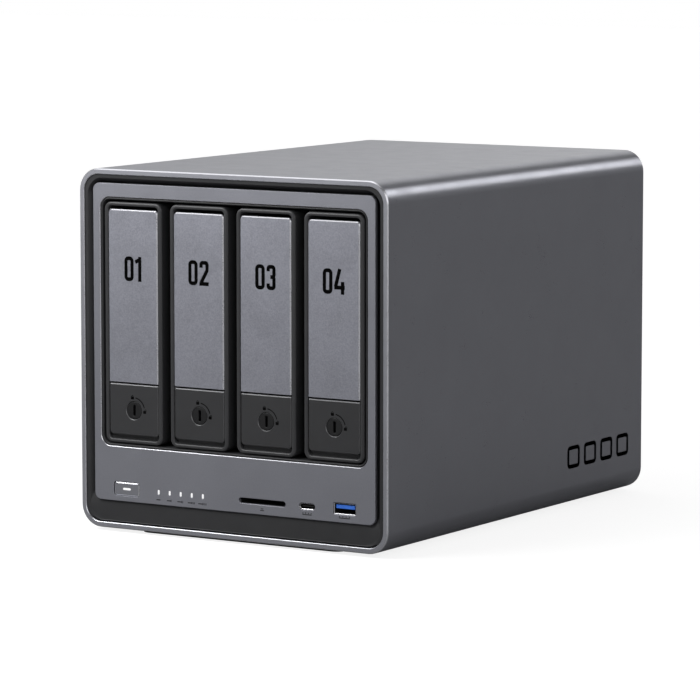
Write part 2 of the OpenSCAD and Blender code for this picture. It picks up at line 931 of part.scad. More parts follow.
module base_cover() {
    play = 0.3;
    color("#4c4d51") difference() {
        translate([0, hatch_y, base_z]) {
            linear_extrude(hatch_t) rounded(hatch_w - 2 * play, hatch_l - 2 * play, 4 - play);
        }
        cover_screw_places() translate([0, 0, base_z - cut]) {
            cylinder(h = hatch_t + 2 * cut, r = screw_r + 0.1);
            cylinder(h = 0.8 + cut, r = screw_head_r + 0.2);
        }
    }
}

module cover_screws() {
    color("#3a3a3c") cover_screw_places() {
        screw_up(base_z + 0.1, wall - 0.1, screw_head_r, 0.7, screw_r - 0.05);
    }
}

module foot(side) {
    color("#161617") foot_places(side) linear_extrude(foot_h + foot_sink) foot_shape(-0.1);
}

module foot_front() {
    foot(-1);
}

module foot_rear() {
    foot(1);
}

module tray(n) {
    y0 = front_y + frame_back;
    y1 = front_y + tray_end;
    color("#2b2b2d") translate([bay_x(n), 0, 0]) difference() {
        union() {
            // Front frame with its back wall
            slab(frame_d, frame_back) difference() {
                panel_shape(frame_w, frame_z0, frame_z1, frame_r);
                panel_shape(slot_w, slot_z0, slot_z1, frame_r - frame_end);
            }
            slab(frame_back - frame_back_t, frame_back) {
                panel_shape(frame_w, frame_z0, frame_z1, frame_r);
            }
            // Sheet beside the drive, and the rails above and below it
            box([-tray_half, y0 - 1, tray_z0], [-tray_half + sheet_t, y1, tray_z1]);
            box([-tray_half, y0 - 1, tray_z0], [tray_half, y1, tray_z0 + rail_t]);
            box([-tray_half, y0 - 1, tray_z1 - rail_t], [tray_half, y1, tray_z1]);
        }
        // Holes for a 2.5-inch drive
        for (y = [-1, 1], z = [-1, 1]) {
            translate([
                -tray_half,
                y1 - ssd_hole_back + y * ssd_hole_y / 2,
                bay_mid_z + z * ssd_hole_z / 2
            ]) rod_x(ssd_hole_r, 3 * sheet_t);
        }
        // Air slots in the sheet and in the frame's back wall
        from = frame_back + tray_air_front;
        to = tray_end - tray_air_back;
        half_h = tray_air_h / 2;
        sheet_slots(-tray_half, 2 * sheet_t, 5, from, to, bay_mid_z - half_h, bay_mid_z + half_h);
        slab(frame_back - frame_back_t - cut, frame_back + cut) for (x = [-8, 0, 8]) {
            translate([x, bay_mid_z + 8]) rounded(4, 60, 1.99);
        }
        // Room for the plate's top edge as the handle swings
        box(
            [-slot_w / 2, front_y + lip_d, slot_z1 - frame_r + frame_end],
            [slot_w / 2, y0 - frame_back_t, slot_z1 + swing_room]
        );
        // Seats of the hinge pin
        translate([0, front_y + hinge_d, hinge_z]) rod_x(pin_r, frame_w + cut);
    }
}

module hinge_pin(n) {
    color("#b4b6ba") translate([bay_x(n), front_y + hinge_d, hinge_z]) rod_x(pin_r, frame_w - 0.2);
}

// Outline of the plate: round at the top corners, square at the seam
module plate_outline(w, z0, z1, r) {
    translate([-w / 2, z0]) square([w, z1 - z0 - r]);
    translate([-w / 2 + r, z0]) square([w - 2 * r, z1 - z0]);
    for (side = [-1, 1]) translate([side * (w / 2 - r), z1 - r]) circle(r);
}

module face_plate(n) {
    color("#8e9098") translate([bay_x(n), 0, 0]) slab(plate_d, plate_back) {
        plate_outline(plate_w, plate_z0, plate_z1, plate_r);
    }
}

// Lever behind the plate: a tray with side flanges, a finger lip and a hinge hub
module handle(n) {
    w = plate_w - 0.4;
    back = plate_back + 1.6;
    flange_d = plate_back + 6;
    flange_t = 1.6;
    lip_h = 2;
    color("#1d1d1f") translate([bay_x(n), 0, 0]) difference() {
        union() {
            slab(plate_back, back) plate_outline(w, plate_z0 + 0.2, plate_z1 - 0.2, plate_r);
            for (side = [-1, 1]) {
                x = side < 0 ? -w / 2 : w / 2 - flange_t;
                box(
                    [x, front_y + plate_back, plate_z0 + 0.2],
                    [x + flange_t, front_y + flange_d, hinge_z - 5]
                );
            }
            box(
                [-w / 2, front_y + plate_back, plate_z0 + 0.2],
                [w / 2, front_y + flange_d, plate_z0 + 0.2 + lip_h]
            );
            intersection() {
                translate([0, front_y + hinge_d, hinge_z]) rod_x(hub_r, w);
                box([-w, front_y + plate_back, hinge_z - 10], [w, front_y + 20, hinge_z + 10]);
            }
        }
        translate([0, front_y + hinge_d, hinge_z]) rod_x(pin_r + running_gap, w + cut);
    }
}

// Press latch under the handle: square at the seam, round at the bottom corners
module latch_outline(grow) {
    mirror([0, 1]) plate_outline(plate_w + 2 * grow, -latch_z1 - grow, -latch_z0 + grow, latch_r + grow);
}

module latch(n) {
    shell_t = 2;
    depth = 10;
    boss_r = lock_r + 1.8;
    color("#2a2a2c") translate([bay_x(n), 0, 0]) difference() {
        union() {
            slab(latch_d, latch_d + shell_t) latch_outline(0);
            slab(latch_d + shell_t - 0.5, latch_d + depth) difference() {
                latch_outline(0);
                latch_outline(-1.4);
            }
            translate([0, 0, lock_z]) rod_y(boss_r, front_y + latch_d + 1, front_y + latch_d + depth);
        }
        translate([0, 0, lock_z]) rod_y(lock_r + running_gap, front_y, front_y + latch_d + depth + cut);
    }
}

module lock(n) {
    front = latch_d + 0.25;
    back = latch_d + 10.6;
    slot_w = 1.4;
    slot_h = 5.5;
    cam = 1.6;
    color("#232325") translate([bay_x(n), 0, lock_z]) difference() {
        union() {
            rod_y(lock_r, front_y + front, front_y + back);
            box([-1.5, front_y + back - 0.1, -1.5], [1.5, front_y + back + cam, 7]);
        }
        box([-slot_w / 2, front_y, -slot_h / 2], [slot_w / 2, front_y + front + 3, slot_h / 2]);
    }
}

shell();
front_bezel();
front_fascia();
drive_cage();
cage_guides();
cage_screws();
backplane_board();
backplane_connectors();
main_board();
board_standoffs();
cpu_heatsink();
memory_socket();
memory_module();
front_io_board();
sd_slot();
usb_c_port();
usb_a_port();
status_lights();
power_button();
button_light();
rear_panel();
panel_screws();
fan_frame();
fan_rotor();
fan_screws();
dust_filter();
filter_magnets();
lan_ports();
hdmi_port();
rear_usb_ports();
dc_inlet();
reset_button();
base_cover();
cover_screws();
foot_front();
foot_rear();
tray(1);  // tray_1
handle(1);  // handle_1
face_plate(1);  // face_plate_1
latch(1);  // latch_1
lock(1);  // lock_1
hinge_pin(1);  // hinge_pin_1
tray(2);  // tray_2
handle(2);  // handle_2
face_plate(2);  // face_plate_2
latch(2);  // latch_2
lock(2);  // lock_2
hinge_pin(2);  // hinge_pin_2
tray(3);  // tray_3
handle(3);  // handle_3
face_plate(3);  // face_plate_3
latch(3);  // latch_3
lock(3);  // lock_3
hinge_pin(3);  // hinge_pin_3
tray(4);  // tray_4
handle(4);  // handle_4
face_plate(4);  // face_plate_4
latch(4);  // latch_4
lock(4);  // lock_4
hinge_pin(4);  // hinge_pin_4
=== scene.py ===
"""Looks of a four-bay network storage enclosure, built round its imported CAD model.

Everything is in metres, in the CAD frame: +Z up, front at -Y, +X to the right.
Places come from the CAD nodes' boxes. Depths are counted back from the case's front rim.
"""
import math

import bmesh
import bpy
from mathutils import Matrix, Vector
from mathutils.geometry import tessellate_polygon


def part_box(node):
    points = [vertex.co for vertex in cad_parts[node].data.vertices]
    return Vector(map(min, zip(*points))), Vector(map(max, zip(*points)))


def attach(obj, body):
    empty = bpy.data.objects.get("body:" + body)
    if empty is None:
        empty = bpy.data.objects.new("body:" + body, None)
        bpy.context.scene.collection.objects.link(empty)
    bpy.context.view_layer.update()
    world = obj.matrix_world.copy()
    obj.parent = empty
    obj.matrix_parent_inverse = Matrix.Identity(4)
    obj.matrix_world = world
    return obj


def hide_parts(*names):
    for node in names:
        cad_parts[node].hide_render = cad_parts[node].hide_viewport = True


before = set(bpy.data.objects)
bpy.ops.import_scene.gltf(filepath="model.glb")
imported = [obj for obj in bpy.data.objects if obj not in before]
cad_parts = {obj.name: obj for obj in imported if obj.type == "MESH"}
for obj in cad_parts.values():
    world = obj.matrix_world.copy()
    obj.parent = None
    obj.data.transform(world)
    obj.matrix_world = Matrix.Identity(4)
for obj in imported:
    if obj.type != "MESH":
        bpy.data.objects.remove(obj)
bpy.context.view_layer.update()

MM = 0.001
BAYS = range(1, 5)
CORNER_STEPS = 10

# ---- places from the CAD model

shell_low, shell_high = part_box("shell")
front_y, rear_y = shell_low.y, shell_high.y
fascia_low, fascia_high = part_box("front_fascia")
bezel_low, bezel_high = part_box("front_bezel")
panel_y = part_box("rear_panel")[1].y
SLEEVE_INNER_RADIUS = 8.35 * MM


def centre(node):
    low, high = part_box(node)
    return (low + high) / 2


# ---- outlines and mesh building


class Outline:
    """A rectangle with its own radius at each corner: lower left, lower right, upper right, upper left."""

    def __init__(self, u0, u1, v0, v1, radii):
        self.box = (u0, u1, v0, v1)
        self.radii = list(radii) if hasattr(radii, "__len__") else [radii] * 4

    @classmethod
    def centred(cls, u, v, width, height, radii):
        return cls(u - width / 2, u + width / 2, v - height / 2, v + height / 2, radii)

    @classmethod
    def facing(cls, low, high, radii):
        """The outline of a box between two corners, as seen from the front."""
        return cls(low.x, high.x, low.z, high.z, radii)

    def inset(self, by):
        return self.moved(by, by, by, by, by)

    def moved(self, left, right, below, above, sharper=0.0):
        """Each side moved inwards by its own amount, and every corner radius reduced by one."""
        u0, u1, v0, v1 = self.box
        radii = [max(r - sharper, 0.02 * MM) for r in self.radii]
        return Outline(u0 + left, u1 - right, v0 + below, v1 - above, radii)

    def points(self):
        u0, u1, v0, v1 = self.box
        corners = ((u0, v0, 1, 1), (u1, v0, -1, 1), (u1, v1, -1, -1), (u0, v1, 1, -1))
        found = []
        for number, ((u, v, du, dv), r) in enumerate(zip(corners, self.radii)):
            for i in range(CORNER_STEPS + 1):
                angle = math.radians(180 + 90 * (number + i / CORNER_STEPS))
                found.append((u + du * r + r * math.cos(angle), v + dv * r + r * math.sin(angle)))
        return found


def circle_points(u, v, radius, count=48):
    return [
        (u + radius * math.cos(2 * math.pi * i / count), v + radius * math.sin(2 * math.pi * i / count))
        for i in range(count)
    ]


def from_front(u, v, depth):
    return (u, front_y + depth, v)


def from_rear(u, v, depth):
    return (u, rear_y - depth, v)


def from_below(u, v, depth):
    return (u, v, depth)


class Solid:
    """Collects the rings and faces of one piece, then makes its mesh."""

    def __init__(self, place=from_front):
        self.place = place
        self.vertices = []
        self.faces = []
        self.slots = []

    def ring(self, points, depth):
        """Adds a closed ring of points, from an Outline or a list of pairs. depth is one depth or a rule."""
        pairs = points.points() if isinstance(points, Outline) else points
        first = len(self.vertices)
        rule = depth if callable(depth) else lambda u, v: depth
        self.vertices += [self.place(u, v, rule(u, v)) for u, v in pairs]
        return list(range(first, len(self.vertices)))

    def bridge(self, a, b, slot=0):
        count = len(a)
        for i in range(count):
            j = (i + 1) % count
            self.faces.append((a[i], a[j], b[j], b[i]))
            self.slots.append(slot)

    def skin(self, profile, slot=0):
        """Bridges rings in turn. profile is a list of (outline, depth). Returns the first and last ring."""
        rings = [self.ring(outline, depth) for outline, depth in profile]
        for a, b in zip(rings, rings[1:]):
            self.bridge(a, b, slot)
        return rings[0], rings[-1]

    def tube(self, profile, slot=0):
        """A closed profile swept round an outline."""
        first, last = self.skin(profile, slot)
        self.bridge(last, first, slot)

    def cap(self, outer, holes=(), slot=0):
        """Fills a flat ring, leaving its holes open."""
        loops = [outer, *holes]
        flat = [[Vector(self.vertices[i]) for i in loop] for loop in loops]
        joined = [i for loop in loops for i in loop]
        for triangle in tessellate_polygon(flat):
            self.faces.append(tuple(joined[i] for i in triangle))
            self.slots.append(slot)

    def slab(self, outline, front, back):
        """A plain slab between two depths."""
        first, last = self.skin([(outline, front), (outline, back)])
        self.cap(first)
        self.cap(last)

    def plate(self, outer, front, back, edge, holes=(), slot=0, rounds=1):
        """A plate with its front edges broken by edge: a chamfer, or a round of several steps."""
        front_loops, back_loops = [], []
        for number, outline in enumerate([outer, *holes]):
            sign = -1 if number else 1
            steps = []
            for i in range(rounds + 1):
                angle = math.pi / 2 * i / rounds
                inwards, deeper = edge * (1 - math.sin(angle)), edge * (1 - math.cos(angle))
                steps.append((outline.inset(sign * inwards), front + deeper))
            first, last = self.skin(steps, slot)
            end = self.ring(outline, back)
            self.bridge(last, end, slot)
            front_loops.append(first)
            back_loops.append(end)
        self.cap(front_loops[0], front_loops[1:], slot)
        self.cap(back_loops[0], back_loops[1:], slot)

    def box(self, low, high, slot=0):
        """A plain block between two corners, given in the CAD frame."""
        first = len(self.vertices)
        corners = [(x, y, z) for x in (low[0], high[0]) for y in (low[1], high[1]) for z in (low[2], high[2])]
        self.vertices += corners
        for face in ((0, 1, 3, 2), (4, 6, 7, 5), (0, 4, 5, 1), (2, 3, 7, 6), (0, 2, 6, 4), (1, 5, 7, 3)):
            self.faces.append(tuple(first + i for i in face))
            self.slots.append(slot)

    def make(self, name, materials, smooth=34, bevel=0.0, weld=True):
        mesh = bpy.data.meshes.new(name)
        mesh.from_pydata(self.vertices, [], self.faces)
        for material in materials:
            mesh.materials.append(material)
        mesh.polygons.foreach_set("material_index", self.slots)
        work = bmesh.new()
        work.from_mesh(mesh)
        if weld:
            bmesh.ops.remove_doubles(work, verts=work.verts, dist=0.002 * MM)
        bmesh.ops.recalc_face_normals(work, faces=work.faces)
        if bevel:
            edges = [
                e for e in work.edges
                if len(e.link_faces) == 2 and e.calc_face_angle(0) > math.radians(50)
            ]
            bmesh.ops.bevel(
                work, geom=edges, offset=bevel, segments=2, profile=0.6,
                affect="EDGES", clamp_overlap=True,
            )
        work.to_mesh(mesh)
        work.free()
        shade(mesh, smooth)
        piece = bpy.data.objects.new(name, mesh)
        bpy.context.scene.collection.objects.link(piece)
        weighted = piece.modifiers.new("flat_faces", "WEIGHTED_NORMAL")
        weighted.keep_sharp = True
        return piece


def shade(mesh, angle):
    """Smooth shading, with edges sharper than the angle kept crisp."""
    mesh.polygons.foreach_set("use_smooth", [True] * len(mesh.polygons))
    mesh.set_sharp_from_angle(angle=math.radians(angle))


def settle(piece, body, slot, *nodes):
    """Hangs a piece on its body and hides the CAD nodes it stands for. slot is not used."""
    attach(piece, body)
    if nodes:
        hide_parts(*nodes)
    return piece


def cut(piece, *cutters):
    """Takes the cutters' solids out of a piece and removes them."""
    for cutter in cutters:
        step = piece.modifiers.new("cut", "BOOLEAN")
        step.operation = "DIFFERENCE"
        step.solver = "EXACT"
        step.object = cutter
    bpy.context.view_layer.update()
    result = bpy.data.meshes.new_from_object(piece.evaluated_get(bpy.context.evaluated_depsgraph_get()))
    piece.modifiers.clear()
    piece.data = result
    shade(result, 34)
    for cutter in cutters:
        bpy.data.objects.remove(cutter)
    return piece


# ---- materials


def grey(value, blue=0.0):
    """A linear colour from an sRGB grey of 0 to 255, with the blue channel raised a little."""
    def linear(c):
        c /= 255
        return c / 12.92 if c <= 0.04045 else ((c + 0.055) / 1.055) ** 2.4
    return (linear(value), linear(value + blue * 0.12), linear(value + blue), 1)


def feed(tree, node, inputs):
    """Sets a node's inputs. Another node's socket is linked, and anything else is the input's value."""
    for key, value in inputs.items():
        if isinstance(value, bpy.types.NodeSocket):
            tree.links.new(value, node.inputs[key])
        else:
            node.inputs[key].default_value = value


class Finish:
    """A procedural material: grain, blotches, worn edges and a roughness that varies with them."""

    def __init__(self, name, colour, roughness, metallic=0.0, coat=0.0, specular=0.5):
        self.material = bpy.data.materials.new(name)
        self.material.use_nodes = True
        self.tree = self.material.node_tree
        self.shader = self.tree.nodes["Principled BSDF"]
        feed(self.tree, self.shader, {
            "Metallic": metallic, "Coat Weight": coat, "Coat Roughness": 0.15, "Specular IOR Level": specular,
        })
        self.coordinate = self.node("ShaderNodeTexCoord").outputs["Object"]
        self.colour = self.node("ShaderNodeRGB").outputs[0]
        self.colour.default_value = colour
        self.roughness = self.node("ShaderNodeValue").outputs[0]
        self.roughness.default_value = roughness
        self.normal = None

    def node(self, kind, inputs=None, **settings):
        made = self.tree.nodes.new(kind)
        for key, value in settings.items():
            setattr(made, key, value)
        feed(self.tree, made, inputs or {})
        return made

    def noise(self, size, detail=3.0, stretch=(1, 1, 1)):
        """Noise whose features are about size metres across."""
        mapping = self.node("ShaderNodeMapping", {"Vector": self.coordinate, "Scale": stretch})
        inputs = {"Vector": mapping.outputs[0], "Scale": 1 / size, "Detail": detail, "Roughness": 0.6}
        return self.node("ShaderNodeTexNoise", inputs).outputs["Fac"]

    def ramp(self, value, start, end, low, high):
        limits = {"From Min": start, "From Max": end, "To Min": low, "To Max": high}
        return self.node("ShaderNodeMapRange", {"Value": value, **limits}).outputs[0]

    def spread(self, value, low, high):
        """Stretches the middle of a noise to a range."""
        return self.ramp(value, 0.3, 0.7, low, high)

    def math(self, operation, a, b, **settings):
        return self.node("ShaderNodeMath", {0: a, 1: b}, operation=operation, **settings).outputs[0]

    def tint(self, value, amount):
        """Lightens and darkens the colour by a share, following a noise."""
        level = self.spread(value, 1 - amount, 1 + amount)
        even = self.node("ShaderNodeCombineColor", {"Red": level, "Green": level, "Blue": level})
        inputs = {"Factor": 1, "A": self.colour, "B": even.outputs[0]}
        mix = self.node("ShaderNodeMix", inputs, data_type="RGBA", blend_type="MULTIPLY")
        self.colour = mix.outputs["Result"]
        return self

    def rough(self, value, amount):
        self.roughness = self.math("ADD", self.roughness, self.spread(value, -amount, amount), use_clamp=True)
        return self

    def bump(self, value, height):
        inputs = {"Height": value, "Distance": height, "Strength": 1}
        if self.normal is not None:
            inputs["Normal"] = self.normal
        self.normal = self.node("ShaderNodeBump", inputs).outputs[0]
        return self

    def worn(self, radius, colour, amount):
        """Rubbed edges: where a rounded normal leaves the true one, the colour turns to the bare one."""
        rounded = self.node("ShaderNodeBevel", {"Radius": radius}, samples=4).outputs[0]
        true = self.node("ShaderNodeNewGeometry").outputs["Normal"]
        dot = self.node("ShaderNodeVectorMath", {0: rounded, 1: true}, operation="DOT_PRODUCT")
        edge = self.ramp(dot.outputs["Value"], 0.98, 0.75, 0, amount)
        broken = self.math("MULTIPLY", edge, self.spread(self.noise(3 * MM), 0.35, 1))
        inputs = {"Factor": broken, "A": self.colour, "B": colour}
        mix = self.node("ShaderNodeMix", inputs, data_type="RGBA")
        self.colour = mix.outputs["Result"]
        return self

    def done(self):
        feed(self.tree, self.shader, {"Base Color": self.colour, "Roughness": self.roughness})
        if self.normal is not None:
            feed(self.tree, self.shader, {"Normal": self.normal})
        return self.material


def blasted_metal(
    name, value, roughness=0.5, grain=0.35 * MM, depth=0.012 * MM, tone=0.05, metallic=0.75, blue=5,
):
    """Bead-blasted, anodised aluminium: an even, fine pebbled grain."""
    f = Finish(name, grey(value, blue), roughness, metallic=metallic)
    fine = f.noise(grain, 2)
    f.tint(f.noise(30 * MM, 2), 0.02).tint(fine, tone)
    f.rough(f.noise(12 * MM), 0.03).rough(fine, 0.05)
    f.bump(fine, depth)
    f.worn(0.25 * MM, grey(value + 22, blue), 0.45)
    return f.done()


def moulded_plastic(name, value, roughness=0.5, grain=0.3 * MM, depth=0.01 * MM, wear=12, blue=2):
    """Black moulded plastic with a fine spark-eroded texture."""
    f = Finish(name, grey(value, blue), roughness, specular=0.4)
    fine = f.noise(grain, 3)
    f.tint(f.noise(18 * MM), 0.06).tint(fine, 0.05)
    f.rough(f.noise(7 * MM), 0.05).rough(fine, 0.04)
    f.bump(fine, depth)
    f.worn(0.2 * MM, grey(value + wear, blue), 0.5)
    return f.done()


def sheet_metal(name, value, roughness=0.35, along=(1, 1, 1)):
    """Zinc-plated or nickel-plated sheet with faint rolling lines and cloudy patches."""
    f = Finish(name, grey(value, 3), roughness, metallic=1.0)
    f.tint(f.noise(9 * MM, 4), 0.1)
    lines = f.noise(1.2 * MM, 2, along)
    f.tint(lines, 0.04).rough(lines, 0.08).rough(f.noise(5 * MM), 0.06)
    f.bump(lines, 0.004 * MM)
    f.worn(0.2 * MM, grey(value + 25, 3), 0.5)
    return f.done()


def circuit_board(name):
    """Solder mask over copper traces: a fine grid of raised tracks."""
    f = Finish(name, (0.012, 0.06, 0.032, 1), 0.35, coat=0.4)
    tracks = f.node("ShaderNodeTexBrick", {
        "Vector": f.coordinate, "Scale": 1 / (6 * MM), "Mortar Size": 0.06,
        "Color1": (0.4, 0.4, 0.4, 1), "Color2": (0.6, 0.6, 0.6, 1), "Mortar": (1, 1, 1, 1),
    })
    f.tint(tracks.outputs["Color"], 0.25).tint(f.noise(4 * MM), 0.12)
    f.bump(tracks.outputs["Color"], 0.03 * MM).rough(f.noise(6 * MM), 0.05)
    return f.done()


def rubber(name):
    f = Finish(name, grey(26), 0.75)
    fine = f.noise(0.5 * MM, 3)
    f.tint(f.noise(10 * MM), 0.1).rough(fine, 0.08).bump(fine, 0.03 * MM)
    f.worn(0.3 * MM, grey(44), 0.4)
    return f.done()


def light_pipe(name, base, strength):
    """A frosted light pipe, lit from behind."""
    f = Finish(name, grey(base), 0.35)
    f.tint(f.noise(0.6 * MM), 0.04).rough(f.noise(1 * MM), 0.05)
    feed(f.tree, f.shader, {"Emission Color": (1, 1, 1, 1), "Emission Strength": strength})
    return f.done()


def smooth_part(name, colour, roughness, metallic=0.0, coat=0.0, size=4 * MM, specular=0.5):
    """A smooth moulded, plated or printed part with slight variation."""
    f = Finish(name, colour, roughness, metallic=metallic, coat=coat, specular=specular)
    f.tint(f.noise(size), 0.07).rough(f.noise(size / 2), 0.05).bump(f.noise(size / 6), 0.003 * MM)
    return f.done()


SLEEVE = blasted_metal("sleeve_grey", 154, 0.34, grain=0.5 * MM, depth=0.008 * MM, blue=9)
FASCIA = blasted_metal("fascia_grey", 150, grain=0.5 * MM, tone=0.08, blue=9)
PLATE = blasted_metal("plate_grey", 160, grain=0.6 * MM, depth=0.03 * MM, tone=0.13, blue=11)
EDGE = blasted_metal("cut_edge", 205, 0.3, 0.4 * MM, 0.003 * MM, tone=0.04, metallic=0.95, blue=6)
RIM = blasted_metal("rim_grey", 162, tone=0.04, blue=8)
# Painted highlight: a lighter metallic grey on the black plastic latch's chamfers and bore lip
LATCH_PAINTED_HIGHLIGHT = blasted_metal("latch_edge", 96, roughness=0.4, tone=0.03, blue=2)
BUTTON = blasted_metal("button_grey", 150, roughness=0.45, blue=8)
BEZEL = moulded_plastic("bezel_black", 46)
TRAY = moulded_plastic("tray_black", 56, roughness=0.42)
LATCH = moulded_plastic("latch_black", 50, roughness=0.55)
LOCK = moulded_plastic("lock_black", 18, roughness=0.55)
DEEP = moulded_plastic("inner_black", 30, roughness=0.6)
PRINT = smooth_part("printed_black", grey(3), 0.9, specular=0.05)
MARKS = smooth_part("printed_grey", grey(34), 0.8, size=1 * MM, specular=0.2)
LIGHT = light_pipe("lit_white", 110, 0.85)
CONNECTOR = smooth_part("connector_black", grey(30), 0.4)
NICKEL = sheet_metal("nickel_shell", 190, 0.28)
GOLD = smooth_part("gold_contacts", (0.83, 0.6, 0.24, 1), 0.3, metallic=1.0, size=1 * MM)
BLUE = smooth_part("blue_tongue", (0.05, 0.2, 0.8, 1), 0.4)
ZINC = sheet_metal("zinc_sheet", 165, 0.38, (1, 0.05, 1))
HEATSINK = sheet_metal("heatsink_alloy", 185, 0.42, (1, 0.03, 1))
BRASS = smooth_part("turned_brass", (0.6, 0.42, 0.14, 1), 0.3, metallic=1.0)
STEEL = smooth_part("ground_steel", grey(195, 3), 0.25, metallic=1.0, size=2 * MM)
BLACK_STEEL = smooth_part("black_oxide", grey(52, 2), 0.38, metallic=0.8, size=2 * MM)
POWDER = moulded_plastic("powder_coat", 66, roughness=0.6, grain=0.5 * MM, depth=0.03 * MM)
FAN = moulded_plastic("fan_black", 48, roughness=0.45)
BOARD = circuit_board("solder_mask")
RUBBER = rubber("foot_rubber")
WHITE = smooth_part("white_plastic", grey(225), 0.35)

# ---- sleeve


def build_sleeve():
    width = shell_high.x - shell_low.x
    radius = 11.1 * MM
    wall = (width - (bezel_high.x - bezel_low.x)) / 2
    edge = 0.6 * MM
    inner_edge = 0.25 * MM
    depth = rear_y - front_y
    outer = Outline.facing(shell_low, shell_high, radius)
    rounds = [(edge, 0), (edge * 0.06, edge * 0.94), (0, edge * 1.25)]
    profile = [(outer.inset(wall), inner_edge, 1), (outer.inset(wall - inner_edge), 0, 2)]
    profile += [(outer.inset(inwards), back, slot) for (inwards, back), slot in zip(rounds, (1, 0, 0))]
    profile += [
        (outer.inset(inwards), depth - back, slot) for (inwards, back), slot in zip(rounds[::-1], (0, 1, 0))
    ]
    profile += [(outer.inset(wall - inner_edge), depth, 1), (outer.inset(wall), depth - inner_edge, 0)]
    body = Solid()
    loops = [body.ring(outline, back) for outline, back, _ in profile]
    for i, (_, _, slot) in enumerate(profile):
        body.bridge(loops[i], loops[(i + 1) % len(loops)], slot)
    sleeve = body.make("sleeve", [SLEEVE, EDGE, RIM])
    base = shell_low.z
    cutters = []

    def cutter(hole, top):
        tool = Solid(from_below)
        tool.slab(hole, base - 2 * MM, top)
        return tool.make("cutter", [])

    for node, grow, top in (("foot_front", 0.1, 0.6), ("foot_rear", 0.1, 0.6), ("base_cover", 0.3, 1.5)):
        low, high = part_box(node)
        radius = (high.y - low.y) / 2 if "foot" in node else 4 * MM
        hole = Outline(low.x, high.x, low.y, high.y, radius - 0.01 * MM).inset(-grow * MM)
        cutters.append(cutter(hole, base + top * MM))
    low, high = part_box("cage_screws")
    head_r = 2.8 * MM
    for x in (low.x + head_r, high.x - head_r):
        for y in (low.y + head_r, high.y - head_r):
            cutters.append(cutter(circle_points(x, y, head_r + 0.3 * MM), base + 1.6 * MM))
    cut(sleeve, *cutters)
    settle(sleeve, "chassis", "sleeve_metal", "shell")


# ---- front bezel and fascia

FASCIA_RADIUS = 3.6 * MM
FASCIA_OUTLINE = Outline.facing(fascia_low, fascia_high, FASCIA_RADIUS)
FASCIA_FRONT = fascia_low.y - front_y
frames_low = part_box("tray_1")[0]
frames_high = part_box("tray_4")[1]
# The bay window stands round the tray frames
WINDOW = Outline(
    frames_low.x - 2.175 * MM, frames_high.x + 2.175 * MM,
    frames_low.z - 1.9 * MM, frames_high.z + 2.34 * MM, 5.4 * MM,
)


